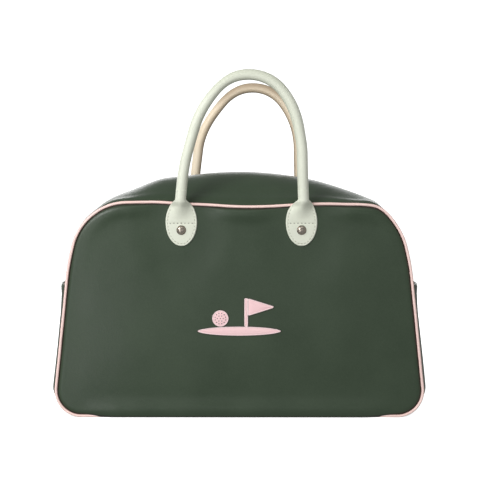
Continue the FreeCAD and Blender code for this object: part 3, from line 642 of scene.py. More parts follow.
def piping():
    count = 1100
    for name, side in SIDES:
        line, out = outline(count)
        tucked = bottom_window(line[:, 0]) * (line[:, 1] < 20)
        flat = line + out * 0.12 * ripple(line[:, 0], line[:, 1], 21, 14)[:, None]
        flat[:, 1] = np.maximum(flat[:, 1], 1.04 * BEAD)
        path = settle(upright(flat, side * (SEAM - TUCK * tucked)))
        draw = np.random.RandomState(4)
        swell = 1 + 0.03 * np.interp(np.arange(count), np.arange(0, count + 1, 11), draw.uniform(-1, 1, 101))
        bead = tube(f"{name}_piping_bead", path, BEAD, 16, PINK, closed=True, swell=swell)
        # Painted shade: the bead darkens where its surface turns away from the front and back, towards its
        # edges as seen face on.
        ring = np.array([v.co for v in bead.data.vertices]).reshape(count, -1, 3)
        facing = np.abs(ring[..., 1] - ring[..., 1].mean(axis=1, keepdims=True)) / (BEAD * MM)
        painted_shade(bead, 0.8 * smooth(0.78, 0.25, facing))
        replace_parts(bead, f"{name}_piping_cover", f"{name}_piping_cord")


# ---- gussets ----


def gusset_rows(depths, inset, raise_by):
    """Rows from right notch over the top to left notch; raise_by(depth, points) lifts the leather."""
    rows = []
    for depth in depths:
        arcs, notch = arch_arcs(crown_share(max(depth, LIP)))
        points, out = follow(arcs, notch, (-notch[0], notch[1]), 260)
        lift = raise_by(depth, points) - inset
        rows.append(upright(points + out * np.reshape(lift, (-1, 1)), depth))
    return np.array(rows)


def shoulder_drop(x, z, depth):
    """How far the soft shoulders at the ends of the zip sink, the left one more."""
    left = 5.2 * np.exp(-((x + 171) / 17) ** 2)
    right = 5.4 * np.exp(-((x - 175) / 17) ** 2)
    return (left + right) * smooth(195, 225, z) * smooth(0, 16, GUSSET_EDGE - depth)


def top_puff(depth, points):
    """Fullness of the top: a soft fold behind the piping, a shallow valley along the zip."""
    x, z = points[:, 0], points[:, 1]
    back = GUSSET_EDGE - depth
    arch = math.sin(math.pi * min(1, max(0, back / (GUSSET_EDGE - LIP))))
    seam = 1.5 * math.exp(-((back - 7) / 6) ** 2)
    uneven = 0.7 * ripple(x + 0.6 * depth, z + depth, 15, 46)
    uneven = uneven * smooth(2, 22, back) * smooth(0, 12, depth - LIP)
    ends = smooth(NOTCH_HEIGHT, NOTCH_HEIGHT + 30, z)
    hump = 2.6 + 3.9 * np.exp(-((x + 92) / 24) ** 2) + 0.9 * np.exp(-((x - 88) / 26) ** 2)
    hump *= arch ** 0.8 * smooth(232, 252, z)
    return (seam + 1.8 * arch ** 1.5 + uneven) * ends + hump - shoulder_drop(x, z, depth)


def zip_gussets():
    fold = np.array([[0.8, 0.15], [0.3, 0.55], [0.05, 1.4], [0.05, 3.2], [0.2, 5.0]])   # past the lip, sunk
    depths = np.concatenate([[GUSSET_EDGE + 0.6, GUSSET_EDGE - 0.4],
                             np.linspace(GUSSET_EDGE - 1.5, LIP + 1.5, 40), LIP + fold[:, 0]])
    for name, side in SIDES:
        turned = np.array([1, side, 1])
        grid = gusset_rows(depths, 0.5, top_puff) * turned
        for row, sink in zip(range(-len(fold), 0), fold[:, 1]):
            direction = np.array([0.0, grid[row, 0, 1], ZIP_CENTRE]) - grid[row]
            grid[row] += direction / np.linalg.norm(direction, axis=1, keepdims=True) * sink
        grid[..., 2] = np.maximum(grid[..., 2], NOTCH_HEIGHT - 2)
        inward = towards(0, 0, 110)
        piece = slab(f"zip_gusset_{name}_leather", settle(grid), 1.5, inward, GREEN)
        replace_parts(piece, f"zip_gusset_{name}", f"zip_hem_{name}")
        inner = gusset_rows(np.linspace(GUSSET_EDGE - 2, LIP + 10, 24), 3.4, top_puff) * turned
        lining = slab(f"top_lining_{name}_cloth", settle(inner), LINING_CLOTH, inward, LINING)
        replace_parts(lining, f"top_lining_{name}")
        for row, back in (("near", 2.2), ("far", 6.4)):
            line = settle(gusset_rows([LIP + back], 0.62, top_puff)[0, 4:-4] * turned)
            out = (line - [0, 0, ZIP_CENTRE]) * [1, 0, 1]
            stitches(f"zip_edge_stitch_{name}_{row}", line, out, 3.4, 2.5, 0.3, GREEN_THREAD, sink=0.3)


# ---- bottom gusset ----


def bottom_gusset():
    """One band from the left notch down, under the bag and up to the right notch."""
    top = NOTCH_HEIGHT + 2.4
    points, out = follow(foot_arcs(), (0.25 - NOTCH_HALF, top), (NOTCH_HALF - 0.25, top), 300)
    x, z = points[:, 0], points[:, 1]
    rows = []
    for depth in np.sin(np.linspace(-1, 1, 56) * np.pi / 2) * (GUSSET_EDGE + 0.5):
        across = abs(depth) / GUSSET_EDGE
        full = 1 - across ** 9
        side_swell = (7.6 + 1.2 * smooth(118, 150, z)) * smooth(2, 34, z)
        base_sag = -1.9 * smooth(14, 2, z)
        uneven = 0.6 * ripple(z + x * 0.2, np.full_like(z, depth), 31, 40) * (1 - across ** 8)
        swell = full * (side_swell + uneven * smooth(6, 40, z)) - base_sag * min(1, full * 1.6) * 0.9
        spots = points + out * (swell - 0.5 + 0.9 * smooth(144, 150, z))[:, None]
        tucked = TUCK * bottom_window(x) * (z < 20) * smooth(74, 88, abs(depth))
        spots[:, 1] = np.maximum(spots[:, 1], 0.25)
        rows.append(upright(spots, depth - math.copysign(1, depth) * tucked))
    grid = np.array(rows)
    inward = towards(0, 0, 120)
    piece = slab("bottom_gusset_leather", grid, 1.7, inward, GREEN)
    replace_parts(piece, "bottom_gusset")
    inner = grid[2:-2] + inward_normals(grid[2:-2], inward) * 2.4
    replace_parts(slab("bottom_lining_cloth", inner, LINING_CLOTH, inward, LINING), "bottom_lining")
    for hand, sign, take in (("left", -1, slice(0, 30)), ("right", 1, slice(-30, None))):
        for row, drop in (("upper", 3.0), ("lower", 9.5)):
            line = hem_line(grid[:, take], top - drop)
            outward = np.repeat([[sign * 1.0, 0, sign * 0.1]], len(line), axis=0)
            stitches(f"hem_stitch_{hand}_{row}", line, outward, 3.4, 2.5, 0.32, GREEN_THREAD)


def hem_line(grid, height):
    """Points across the bag where the gusset reaches a height."""
    line = []
    for row in grid:
        order = np.argsort(row[:, 2])
        line.append([np.interp(height, row[order, 2], row[order, 0]), row[0, 1], height])
    return np.array(line)[3:-3]


# ---- zip ----


def on_zip(degrees, depth, lift):
    """Point on the zip's arc, lift above the drawn crown line."""
    angle = np.radians(degrees)
    radius = CROWN - ZIP_CENTRE + lift
    return np.array([radius * np.sin(angle), depth, ZIP_CENTRE + radius * np.cos(angle)])


def zip_tapes():
    for name, side in SIDES:
        low, high = node_box(f"zip_tape_{name}")
        near, far = sorted((abs(low[1]), abs(high[1])))
        reach = ZIP_REACH + 3.0
        rows = []
        for depth in np.linspace(near - 1.3, LIP - 0.1, 8):
            lift = high[2] - CROWN + 0.3 * (depth - near) / (far - near)
            rows.append([on_zip(angle, side * depth, lift) for angle in np.linspace(-reach, reach, 160)])
        grid = np.array(rows)
        piece = slab(f"zip_tape_{name}_weave", grid, 0.5, lambda g: np.array([0.0, 0.0, -1.0]), TAPE)
        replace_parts(piece, f"zip_tape_{name}")


def zip_teeth():
    """Interlocked metal teeth, each a clamped foot on the tape's cord with a rounded head."""
    pitch = 0.36    # degrees
    low, high = node_box("zip_teeth_front")
    base = max(abs(low[1]), abs(high[1]))
    middle = node_box("zip_tape_front")[1][2] - CROWN - 0.3
    # distance from the zip's middle, half length along it, half height
    sections = ((base, 0.62, 1.15), (base - 0.9, 0.62, 1.2), (base - 1.5, 0.42, 1.0), (0.3, 0.4, 0.9),
                (-0.35, 0.55, 0.95), (-0.75, 0.4, 0.6))
    ring = ((-1, -1), (-1, 0.7), (-0.6, 1), (0.6, 1), (1, 0.7), (1, -1))
    for (name, side), offset in zip(SIDES, (0.3, 0.8)):
        points, faces = [], []
        for index in range(int(2 * ZIP_REACH / pitch)):
            angle = -ZIP_REACH + (index + offset) * pitch
            faces += loft_faces(len(sections), len(ring), len(points))
            for depth, half, tall in sections:
                for across, up in ring:
                    turn = math.degrees(across * half / (CROWN - ZIP_CENTRE))
                    points.append(on_zip(angle + turn, side * depth, middle + up * tall))
        piece = mesh_object(f"zip_teeth_{name}_row", np.array(points), faces, ZIP_NICKEL, smooth_shade=False)
        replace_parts(piece, f"zip_teeth_{name}")


def zip_end_covers():
    """Leather straps over the ends of the zip, down to the bottom gusset."""
    half = node_box("zip_end_cover_right")[1][1]
    arcs, notch = arch_arcs(1)
    beyond = 90 - ZIP_REACH - 1.3
    right = arcs[:2] + [(*arcs[2][:3], beyond)]
    points, out = follow(right, (notch[0], NOTCH_HEIGHT - 1), None, 70)
    edge = half - np.array([1.2, 0.5, 0.1, 0.02])
    across = np.concatenate([-edge[:0:-1], np.linspace(-edge[0], edge[0], 13), edge[1:]])
    rise = 1.3 + np.interp(np.abs(across), edge, [0, -0.2, -0.7, -1.2]) + 0.5 * (1 - (across / half) ** 2)
    for name, hand in (("right", 1), ("left", -1)):
        sunk = shoulder_drop(hand * points[:, 0], points[:, 1], 0)
        grid = np.array([upright((points + out * (lift - sunk)[:, None]) * [hand, 1], depth)
                         for depth, lift in zip(across, rise)])
        piece = slab(f"zip_end_cover_{name}_leather", grid, 1.3, towards(0, 0, 110), GREEN)
        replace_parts(piece, f"zip_end_cover_{name}")
        for edge_name, row in (("front", 5), ("rear", -6)):
            line = grid[row][3:-2]
            outward = line - np.array([hand * 110.0, line[0, 1], 150.0])
            stitches(f"zip_end_stitch_{name}_{edge_name}", line, outward, 3.2, 2.4, 0.3, GREEN_THREAD)


# ---- handles ----

TOP_RADIUS, SIDE_RADIUS, TOP_TURN, LEG_LEAN = 52.0, 110.0, 50.0, 4.0
HANDLE_TOP = node_box("front_handle_core")[1][2] - 5.15


def handle_line(count):
    """Handle's centre line in its own plane, from the right leg over the top to the left leg."""
    turn = 90 - TOP_TURN
    top_centre = np.array([0.0, HANDLE_TOP - TOP_RADIUS])
    side_centre = top_centre + normal(turn) * (TOP_RADIUS - SIDE_RADIUS)
    leg_start = side_centre + normal(LEG_LEAN) * SIDE_RADIUS
    down = leg_start[1] - HINGE
    hinge = leg_start + np.array([down * math.tan(math.radians(LEG_LEAN)), -down])
    right = [(side_centre, SIDE_RADIUS, LEG_LEAN, turn)]
    arcs = right + [(top_centre, TOP_RADIUS, turn, 180 - turn)] + mirrored(right)
    return follow(arcs, hinge, (-hinge[0], hinge[1]), count)


LEG_X = handle_line(3)[0][0][0]
WRAP = 6.05      # radius of the rolled leather, drawn tight round its core
SEAM_BACK = 1.7  # the stitched seams of a handle lie this far behind its middle
LEAN_AT_TOP = 8.5    # the soft handles lean this far to the right at their tops


def lean(points, name):
    """Settles a soft handle: it leans to the right, its top sags and its left shoulder comes in."""
    result = points.copy()
    x, z = points[..., 0], points[..., 2]
    rise = np.clip((z - HINGE) / (HANDLE_TOP - HINGE), 0, 1)
    result[..., 0] += LEAN_AT_TOP * rise ** 1.4
    if name == "front":
        result[..., 0] += 4.2 * smooth(-5, -45, x) * smooth(292, 334, z)
        result[..., 0] += 2.0 * smooth(10, 30, x) * smooth(240, 257, z) * smooth(335, 308, z)
        result[..., 0] -= 0.7 * smooth(-10, -30, x) * smooth(240, 257, z) * smooth(300, 280, z)
        result[..., 2] -= 1.5 * smooth(360, 396, z)
    else:
        result[..., 0] += 3.2 * smooth(5, -40, x) * smooth(318, 378, z)
        result[..., 2] -= 1.9 * smooth(335, 395, z)
    return result


def painted_shade(piece, values):
    """Writes how much painted shade each point of a piece gets, which its leather reads."""
    layer = piece.data.attributes.new("painted_shade", "FLOAT", "POINT")
    layer.data.foreach_set("value", np.asarray(values, np.float32).ravel())


def nearest(piece, points, values):
    """The value of the nearest of the points (in millimetres) for each vertex of a piece."""
    flat = points.reshape(-1, 3) * MM
    tree = KDTree(len(flat))
    for index, point in enumerate(flat):
        tree.insert(point, index)
    tree.balance()
    return np.ravel(values)[[tree.find(vertex.co)[1] for vertex in piece.data.vertices]]


def wrap(name, facing, half, finish, radius, spread, ridge):
    """One leather half of a handle's cover, its front (facing -1) or rear; ridge lifts its sewn edges."""
    side = dict(SIDES)[name]
    line, out = handle_line(240)
    degrees = np.linspace(-spread, spread, 25)
    turn = np.radians(degrees)
    lifted = radius + ridge * smooth(spread - 22, spread - 6, np.abs(degrees))
    grids = []
    for radii in (lifted, np.full(len(turn), radius - 1.0)):
        flat = line[:, None, :] + out[:, None, :] * (np.sin(turn) * radii)[None, :, None]
        y = np.broadcast_to(side * HANDLE_AXIS + facing * np.cos(turn) * radii, flat.shape[:2])
        grids.append(np.stack([flat[..., 0] + HANDLE_SHIFT[name], y, flat[..., 1]], axis=2))
    grids = np.array(grids)
    # Painted shade: each wrap darkens towards the inner edge of the arch, and near the top of the arch over
    # its outer side.
    top = smooth(366, 392, grids[..., 2])
    shade = smooth(-5, -50, degrees) * 0.4 + smooth(-48, -74, degrees) * 0.6
    shade = shade + (smooth(-30, 30, degrees) * 0.72 + smooth(45, 80, degrees) * 0.28) * top
    outer, inner = lean(grids, name)
    piece = shell(f"{name}_handle_{half}_leather", outer, inner, finish, f"{name}_handle")
    painted_shade(piece, np.clip(shade, 0, 1))
    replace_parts(piece, f"{name}_handle_{half}_wrap")


def handles():
    for name, side in SIDES:
        body = f"{name}_handle"
        wrap(name, side, "outer", MINT, WRAP, 95, 0.25)
        wrap(name, -side, "inner", CREAM, WRAP - 0.1, 85, 0.2)
        line, out = handle_line(260)
        line = line + [HANDLE_SHIFT[name], 0]
        path = lean(upright(line, side * HANDLE_AXIS), name)
        rope = tube(f"{name}_handle_core_rope", path, WRAP - 1.05, 20, ROPE, body)
        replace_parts(rope, f"{name}_handle_core")
        for edge_name, sign in (("outside", 1), ("inside", -1)):
            path = lean(upright(line + out * sign * (WRAP - 0.3), side * HANDLE_AXIS + SEAM_BACK), name)
            outward = upright(out * sign, 0.35)
            stitches(f"{name}_handle_stitch_{edge_name}", path[6:-6], outward[6:-6], 3.0, 2.2, 0.26,
                     MINT_THREAD_AND_SHADE, body)


# ---- handle tabs ----

TAB_MIDDLE, TAB_HALF_WIDTH, TAB_HALF_HEIGHT = 228.3, 18.4, 27.4
STITCH_HEIGHT = 227.4
NECK_TOP = 266.0
NECK = 6.35      # radius of the tab's neck, rolled round the handle
PLATE = 2.0      # the flat part of a tab stands this far in front of the panel


def tab_half_width(z):
    """Half width of the spoon-shaped tab at a height."""
    ellipse = TAB_HALF_WIDTH * np.sqrt(np.clip(1 - ((z - TAB_MIDDLE) / TAB_HALF_HEIGHT) ** 2, 0, 1))
    neck = NECK * smooth(236, 250, z)
    return np.where(z < 236, ellipse, (ellipse ** 6 + neck ** 6) ** (1 / 6))


def tab_front(x, z):
    """How far the tab's leather stands in front of the panel's face plane, its edge rounded."""
    half = tab_half_width(z)
    low = TAB_MIDDLE - TAB_HALF_HEIGHT
    edge = np.clip(np.minimum(half - np.abs(x), (z - low) * 1.2), 0, None)
    plate = PLATE * np.sqrt(np.clip(1 - (1 - np.clip(edge / 1.3, 0, 1)) ** 2, 0, 1))
    groove = -0.3 * np.exp(-((edge - 2.7) / 0.6) ** 2)
    soft = 0.5 + 0.5 * np.cos(np.clip(x / (half * 0.94), -1, 1) * math.pi)
    round_top = np.sqrt(np.clip(1 - (x / (half + 0.4)) ** 2, 0, 1))
    rolled = smooth(247, 257, z)
    profile = (1 - rolled) * soft + rolled * round_top
    height = (HANDLE_AXIS + NECK - FACE - PLATE) * smooth(STITCH_HEIGHT - 0.4, 258, z) ** 1.15
    crease = -0.45 * np.exp(-((z - STITCH_HEIGHT) / 1.0) ** 2) * (np.abs(x) < half - 2.5)
    return plate + groove + height * profile + crease


def tab(name, side, hand, place):
    """The tab as one leather piece, from its round lower end up round the handle's neck."""
    x0 = HANDLE_SHIFT[name] + place * LEG_X
    ends = TAB_MIDDLE - TAB_HALF_HEIGHT * np.cos(np.linspace(0.02, math.pi / 2, 34))
    across = np.sin(np.linspace(-1, 1, 41) * math.pi / 2)
    angle = across * math.radians(104)
    thin = NECK - 0.5
    front, back = [], []
    for z in np.concatenate([ends, np.linspace(TAB_MIDDLE, NECK_TOP, 44)[1:]]):
        half = float(tab_half_width(z))
        x = across * half
        y = FACE + tab_front(x, np.full_like(x, z))
        mix = float(smooth(246, 257, z))
        middle = x0 - place * math.tan(math.radians(LEG_LEAN)) * max(0.0, z - HINGE)
        front_x = (1 - mix) * x + mix * NECK * np.sin(angle)
        front_x *= half / np.abs(front_x).max()
        front_y = (1 - mix) * y + mix * (HANDLE_AXIS + NECK * np.cos(angle))
        back_x = (1 - mix) * x * 0.97 + mix * thin * np.sin(angle)
        back_y = (1 - mix) * np.minimum(FACE + 0.15, y - 0.05) + mix * (HANDLE_AXIS + thin * np.cos(angle))
        front.append(np.stack([middle + front_x, side * front_y, np.full_like(x, z)], axis=1))
        back.append(np.stack([middle + back_x, side * back_y, np.full_like(x, z)], axis=1))
    front, back = (lean(np.array(grid), name) for grid in (front, back))
    piece = shell(f"handle_tab_{name}_{hand}_leather", front, back, MINT, body=None)
    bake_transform(piece)
    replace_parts(piece, f"handle_tab_{name}_{hand}")

    def seam(kind, flat, radius, lift, thread):
        line = upright(flat + [x0, 0], side * (FACE + tab_front(flat[:, 0], flat[:, 1]) + lift))
        outward = np.repeat([[0.0, side, 0.0]], len(line), axis=0)
        stitches(f"tab_stitch_{name}_{hand}_{kind}", line, outward, 3.8, 2.5, radius, thread)

    turn = np.radians(np.linspace(140, 400, 90))
    ring = [np.cos(turn) * (TAB_HALF_WIDTH - 2.7), TAB_MIDDLE + np.sin(turn) * (TAB_HALF_HEIGHT - 2.7)]
    # Both rows carry painted shade of their stitch holes in the thread's colour.
    seam("edge", np.stack(ring, axis=1), 0.36, 0.05, MINT_THREAD_AND_SHADE)
    x = np.linspace(3.4 - TAB_HALF_WIDTH, TAB_HALF_WIDTH - 3.4, 40)
    seam("cross", np.stack([x, np.full(40, STITCH_HEIGHT)], axis=1), 0.42, 0.1, DARK_THREAD_AND_SHADE)


def rivet(name, side, hand):
    """Domed cap on a thin rolled flange, seated in the tab's leather."""
    low, high = node_box(f"rivet_{name}_{hand}")
    radius = (high[0] - low[0]) / 2
    flange = ((0.3, -1.2), (0.9, -0.5), (1, -0.1), (1.02, 0.25), (0.985, 0.6), (0.95, 0.68))
    foot = np.array(flange) * [radius, 1]
    rise = np.linspace(math.pi / 2, 0.02, 14)
    dome = np.stack([radius * 0.93 * np.sin(rise), 0.75 + 2.2 * np.cos(rise)], axis=1)
    seat = np.array([(low[0] + high[0]) / 2, side * (FACE + PLATE), (low[2] + high[2]) / 2])
    piece = revolved(f"rivet_{name}_{hand}_cap", [*foot, *dome], seat, (0, side, 0), NICKEL)
    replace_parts(piece, f"rivet_{name}_{hand}")
    # Painted shade: a dark ring round the edge of the cap, on the leather.
    turn = np.linspace(0, 2 * math.pi, 48, endpoint=False)
    ring = np.stack([np.cos(turn), np.sin(turn)], axis=1) * radius * 1.03
    tube(f"rivet_{name}_{hand}_rim", seat + upright(ring, side * 0.1), 0.42, 8, RIVET_SHADE, closed=True)


def tabs_and_rivets():
    for name, side in SIDES:
        for hand, place in (("left", -1), ("right", 1)):
            tab(name, side, hand, place)
            rivet(name, side, hand)


# ---- slider and pull ----


def zip_local(points):
    """Carries points made with the zip's crown at (0, 0, 0) to the slider's place at rest."""
    points = np.asarray(points, float)
    radius = CROWN - ZIP_CENTRE
    x, y, z = points[..., 0], points[..., 1], points[..., 2] + radius
    c, s = math.cos(SLIDER_TURN), math.sin(SLIDER_TURN)
    return np.stack([x * c + z * s, y, ZIP_CENTRE - x * s + z * c], axis=-1)


PULL_DIP = math.radians(6.5)
PIN = math.hypot(PIN_X, PIN_Z - ZIP_CENTRE) - (CROWN - ZIP_CENTRE)


def pull_local(points):
    """Carries (along, across, up) points of the pull, made from its pin, to its place at rest."""
    along, across, up = np.moveaxis(np.asarray(points, float), -1, 0)
    c, s = math.cos(PULL_DIP), math.sin(PULL_DIP)
    return zip_local(np.stack([-along * c - up * s, across, PIN - along * s + up * c], axis=-1))


def rounded(half_x, half_y, corner, sides=6):
    """Ring of (x, y) points round a rectangle with round corners."""
    ring = []
    for k, (sx, sy) in enumerate(((1, 1), (-1, 1), (-1, -1), (1, -1))):
        for a in np.linspace(0, math.pi / 2, sides):
            angle = a + k * math.pi / 2
            ring.append([sx * (half_x - corner) + corner * math.cos(angle),
                         sy * (half_y - corner) + corner * math.sin(angle)])
    return np.array(ring)


def plate_sections(low, high, half_x, half_y, nose):
    """Rings up through a slider plate whose one end narrows by nose; its edges are rounded."""
    sections = []
    for share, shrink in ((0.0, 0.35), (0.12, 0.12), (0.3, 0.0), (0.7, 0.0), (0.88, 0.12), (1.0, 0.35)):
        ring = rounded(half_x - shrink, half_y - shrink, 1.6)
        taper = 1 - nose * smooth(0.0, half_x, ring[:, 0])
        height = np.full(len(ring), low + (high - low) * share)
        sections.append(np.stack([ring[:, 0], ring[:, 1] * taper, height], axis=1))
    return sections


def strap_sections(path, half_width, half_thick):
    """Rings along a path of (x, z) points, each a rounded strap section across Y."""
    sections = []
    along = np.gradient(path, axis=0)
    along /= np.linalg.norm(along, axis=1, keepdims=True)
    ring = rounded(half_width, half_thick, half_thick * 0.8)
    for (x, z), (tx, tz) in zip(path, along):
        sections.append([[x - tz * w, y, z + tx * w] for y, w in ring])
    return sections


def carry_over(name, material):
    """A CAD node whose shape is right gets a better finish."""
    node = frame["nodes"][name]
    node.data.materials.clear()
    node.data.materials.append(material)


def slider():
    """Two plates joined by a wedge, with lips down their sides and a bridge on top."""
    teeth_low, top, clear, plate = -7.6, -3.45, 0.45, 1.3    # heights from the crown, gap, thickness
    inner_low, inner_top = teeth_low - clear, top - plate

    def part(name, sections):
        return lofted_piece(f"zip_slider_{name}", sections, zip_local, ZIP_NICKEL, "zip_slider")

    for name, bottom in (("top_plate", inner_top), ("low_plate", inner_low - plate)):
        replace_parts(part(name, plate_sections(bottom, bottom + plate, 6.0, 4.7, 0.28)), "zip_slider_body")

    def post(name, ring, x, y, heights):
        part(name, [[[x + a, y + b, z] for a, b in ring] for z in heights])

    post("wedge", rounded(2.4, 0.42, 0.4), -3.0, 0, (inner_low - 0.2, inner_top + 0.2))
    for name, side in SIDES:
        for level, heights in (("upper", (-5.65, inner_top + 0.2)), ("lower", (inner_low - 0.2, -7.0))):
            post(f"lip_{name}_{level}", rounded(5.5, 0.38, 0.34), 0, side * 4.3, heights)
    turn = np.radians(np.linspace(0, 180, 25))
    path = np.stack([3.9 * np.cos(turn), top - 0.2 + 3.4 * np.sin(turn) ** 0.7], axis=1)
    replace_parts(part("bridge_strap", strap_sections(path, 1.4, 0.5)), "zip_slider_bridge")


def pull():
    """Wire link on the slider's bridge with a sewn leather strap."""
    link_path = upright(rounded(5.0, 3.05, 1.6, sides=8) + [4.95, 0], 0)[:, [0, 2, 1]]
    link = tube("zip_pull_link_wire", pull_local(link_path), 0.52, 10, ZIP_NICKEL, "zip_pull", closed=True,
                up=(0.3, 0.1, 0.95))
    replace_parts(link, "zip_pull_link")
    # distance from the pin, half thickness, half width
    shape = ((8.75, 0.35, 1.7), (8.85, 0.8, 2.0), (9.2, 1.2, 2.15), (9.8, 1.38, 2.2), (10.6, 1.3, 2.2),
             (11.4, 1.0, 2.25), (12.2, 0.86, 2.9), (13.4, 0.82, 3.9), (14.8, 0.8, 4.4), (16.0, 0.8, 4.5),
             (24.0, 0.8, 4.5), (33.0, 0.8, 4.5), (34.6, 0.8, 4.2), (35.7, 0.78, 3.4), (36.4, 0.68, 2.4),
             (36.6, 0.4, 1.7))
    sections = [[[u, y, w] for y, w in rounded(width, thick, thick * 0.7)] for u, thick, width in shape]
    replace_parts(lofted_piece("zip_pull_strap", sections, pull_local, MINT, "zip_pull"), "zip_pull_tab")
    loop = rounded(9.4, 3.3, 1.8) + [25.4, 0]
    line = upright(np.concatenate([loop, loop[:1]]), 0.78)[:, [0, 2, 1]]
    out = pull_local([[0, 0, 1.0]]) - pull_local([[0, 0, 0.0]])
    stitches("zip_pull_stitch", pull_local(line), out.repeat(len(line), 0), 2.4, 1.7, 0.22, MINT_THREAD_AND_SHADE,
             "zip_pull")


# ---- emblem ----


def emblem_surface(points, lift):
    """Carries (x, z) points to the front panel, lift in front of its leather."""
    base = SEAM + panel_height(points[:, 0], points[:, 1], np.full(len(points), 60.0), -1)
    return settle(np.stack([points[:, 0], -(base + lift), points[:, 1]], axis=1))


def emblem_patch(name, contour, hub=None):
    """Padded leather patch with a corded edge on the front panel; contour is (x, z) points round hub."""
    contour = np.array(contour)
    centre = contour.mean(axis=0) if hub is None else np.array(hub)
    outward = contour_normals(contour)
    rings = [emblem_surface(contour - outward * inset, lift)
             for inset, lift in ((0.05, -0.5), (0.0, 0.25), (0.25, 0.75), (0.7, 0.95))]
    inner = contour - outward * 0.7
    rings += [emblem_surface(centre + (inner - centre) * share, lift)
              for share, lift in ((0.8, 1.2), (0.55, 1.4), (0.3, 1.48), (0.1, 1.5))]
    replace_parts(lofted_piece(f"{name}_pad", rings, np.asarray, EMBLEM_PINK), name)
    edge = contour - outward * 0.35
    edge = resample(np.concatenate([edge, edge[:1]]), 4 * len(contour))[:-1]
    tube(f"{name}_cord", emblem_surface(edge, 0.75), 0.62, 8, PINK_THREAD, closed=True)
    # Painted shadow: a dark cord just outside the patch's edge, where the padded patch shades the panel.
    shade = contour + outward * 0.55
    tube(f"{name}_outline", emblem_surface(shade, 0.05), 0.42, 6, EMBLEM_SHADOW, closed=True)


def contour_normals(contour):
    along = np.roll(contour, -1, axis=0) - np.roll(contour, 1, axis=0)
    out = np.stack([along[:, 1], -along[:, 0]], axis=1)
    return out / np.maximum(np.linalg.norm(out, axis=1, keepdims=True), 1e-9)


def emblem():
    """A plain golf pictogram: ground, flagstick, flag and ball."""
    low, high = node_box("emblem_ground")
    t = np.linspace(0, 2 * math.pi, 200, endpoint=False)
    circle = np.stack([np.cos(t), np.sin(t)], axis=1)
    middle, half = ((low + high) / 2)[[0, 2]], ((high - low) / 2)[[0, 2]]
    flattened = np.stack([circle[:, 0], circle[:, 1] * np.abs(circle[:, 1]) ** 0.12], axis=1)
    emblem_patch("emblem_ground", middle + half * flattened)
    low, high = node_box("emblem_ball")
    middle, radius = ((low + high) / 2)[[0, 2]], (high[0] - low[0]) / 2
    emblem_patch("emblem_ball", middle + radius * circle[::2])
    dimples = [(0.0, 0.0)] + [(0.36, a) for a in range(0, 360, 60)] + [(0.68, a) for a in range(15, 375, 30)]
    for index, (share, degrees) in enumerate(dimples):
        spot = middle + normal(degrees) * share * radius
        ring = spot + np.array([normal(a) * 0.33 for a in range(0, 360, 60)])
        knot = emblem_surface(ring, 1.5 - 0.25 * share)
        tube(f"emblem_ball_knot_{index:02d}", knot, 0.3, 6, GREEN_THREAD, closed=True)
    low, high = node_box("emblem_pole")
    pole = [[low[0], high[2]], [low[0], low[2]], [high[0], low[2]], [high[0], high[2]]]
    emblem_patch("emblem_pole", rounded_loop(pole, 1.2, 160))
    low, high = node_box("emblem_flag")
    tip = [high[0], (low[2] + high[2]) / 2]
    flag = [[low[0], high[2]], [low[0], low[2]], tip]
    emblem_patch("emblem_flag", rounded_loop(flag, 1.6, 160), [low[0] + (high[0] - low[0]) * 0.33, tip[1]])


def rounded_loop(corners, radius, count):
    """Closed loop through corners with rounded turns, evenly spaced."""
    corners = np.array(corners, float)
    points = []
    for index, corner in enumerate(corners):
        before, after = corners[index - 1] - corner, corners[(index + 1) % len(corners)] - corner
        before /= np.linalg.norm(before)
        after /= np.linalg.norm(after)
        opening = math.acos(float(before @ after))
        back = radius / math.tan(opening / 2)
        for t in np.linspace(0, 1, 9):
            points.append(corner + before * back * (1 - t) ** 2 + after * back * t ** 2)
    points.append(points[0])
    return resample(np.array(points), count + 1)[:-1]


# ---- pieces that keep their CAD shape ----


def kept_nodes():
    for material, names in ((ZIP_NICKEL[1], ("zip_stop_left", "zip_stop_right")),
                            (LINING[1], ("front_seam_binding", "rear_seam_binding")),
                            (BOARD_MATERIAL, ("base_board", "handle_backing_front", "handle_backing_rear")),
                            (NICKEL[1], ("rivet_burrs_front", "rivet_burrs_rear"))):
        for name in names:
            carry_over(name, material)


# ---- stage ----


def glowing(name, strength):
    """Matte white that also glows a little, as a lit studio sweep does."""
    material, tree, shader = new_material(name)
    feed(tree, shader, {"Base Color": (0.9, 0.9, 0.9, 1), "Roughness": 1.0, "Specular IOR Level": 0.0,
                        "Emission Color": (1, 1, 1, 1), "Emission Strength": strength})
    return material


def backdrop(name, glow):
    """Names the mesh just added and makes it a backdrop that only the camera sees."""
    made = bpy.context.object
    made.name = name
    made.data.materials.append(glowing(f"{name}_white", glow))
    made.visible_diffuse = False
    made.visible_glossy = False
    made.visible_shadow = False


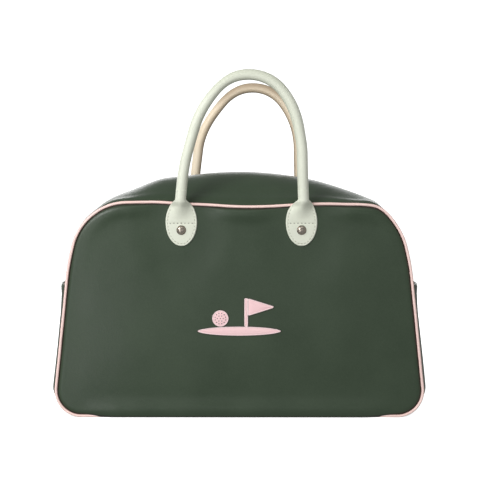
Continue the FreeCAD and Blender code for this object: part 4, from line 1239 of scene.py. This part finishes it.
def stage():
    """Plain pale floor and sweep, soft studio light and the camera."""
    bpy.ops.mesh.primitive_plane_add(size=11)
    backdrop("floor", 0.85)
    bpy.ops.mesh.primitive_uv_sphere_add(radius=6, segments=48, ring_count=24)
    backdrop("sweep", 1.0)

    bag_middle = Vector((0, 0, 0.18))

    def lamp(name, place, size, power):
        light = bpy.data.lights.new(name, "AREA")
        light.shape = "RECTANGLE"
        light.size, light.size_y = size
        light.energy = power
        holder = bpy.data.objects.new(name, light)
        holder.location = place
        holder.rotation_euler = (bag_middle - Vector(place)).to_track_quat("-Z", "Y").to_euler()
        bpy.context.scene.collection.objects.link(holder)

    # place and size in metres, power in watts
    lamp("key_left", (-0.62, -1.35, 0.30), (0.25, 0.6), 1.35)
    lamp("left_low", (-0.55, -1.3, -0.15), (0.3, 0.3), 1.05)
    lamp("left_high", (-0.9, -1.1, 0.9), (0.6, 0.5), 15.0)
    lamp("front_band", (0.0, -1.9, 0.2), (1.6, 0.25), 1.1)
    lamp("front_high", (0.0, -1.1, 1.4), (1.2, 0.4), 2.0)
    lamp("back_wide", (0.0, 1.6, 0.75), (2.6, 0.9), 16.0)
    world = bpy.data.worlds.new("studio")
    world.use_nodes = True
    background = world.node_tree.nodes["Background"]
    background.inputs["Color"].default_value = (1, 1, 1, 1)
    background.inputs["Strength"].default_value = 0.405
    bpy.context.scene.world = world
    bpy.context.scene.view_settings.view_transform = "Standard"

    camera = bpy.data.cameras.new("camera")
    camera.sensor_width = 36
    distance, seen_width = 1.5, 0.558      # metres, to and across the plane of the front piping
    camera.lens = camera.sensor_width / seen_width * distance
    holder = bpy.data.objects.new("camera", camera)
    eye = Vector((0.006, -SEAM * MM - distance, 0.270))
    aim = Vector((0.0008, -SEAM * MM, 0.2078))
    holder.location = eye
    holder.rotation_euler = (aim - eye).to_track_quat("-Z", "Y").to_euler()
    bpy.context.scene.collection.objects.link(holder)
    bpy.context.scene.camera = holder


for build in (panels, piping, zip_gussets, bottom_gusset, zip_tapes, zip_teeth, zip_end_covers, handles,
              tabs_and_rivets, slider, pull, emblem, kept_nodes, stage):
    build()
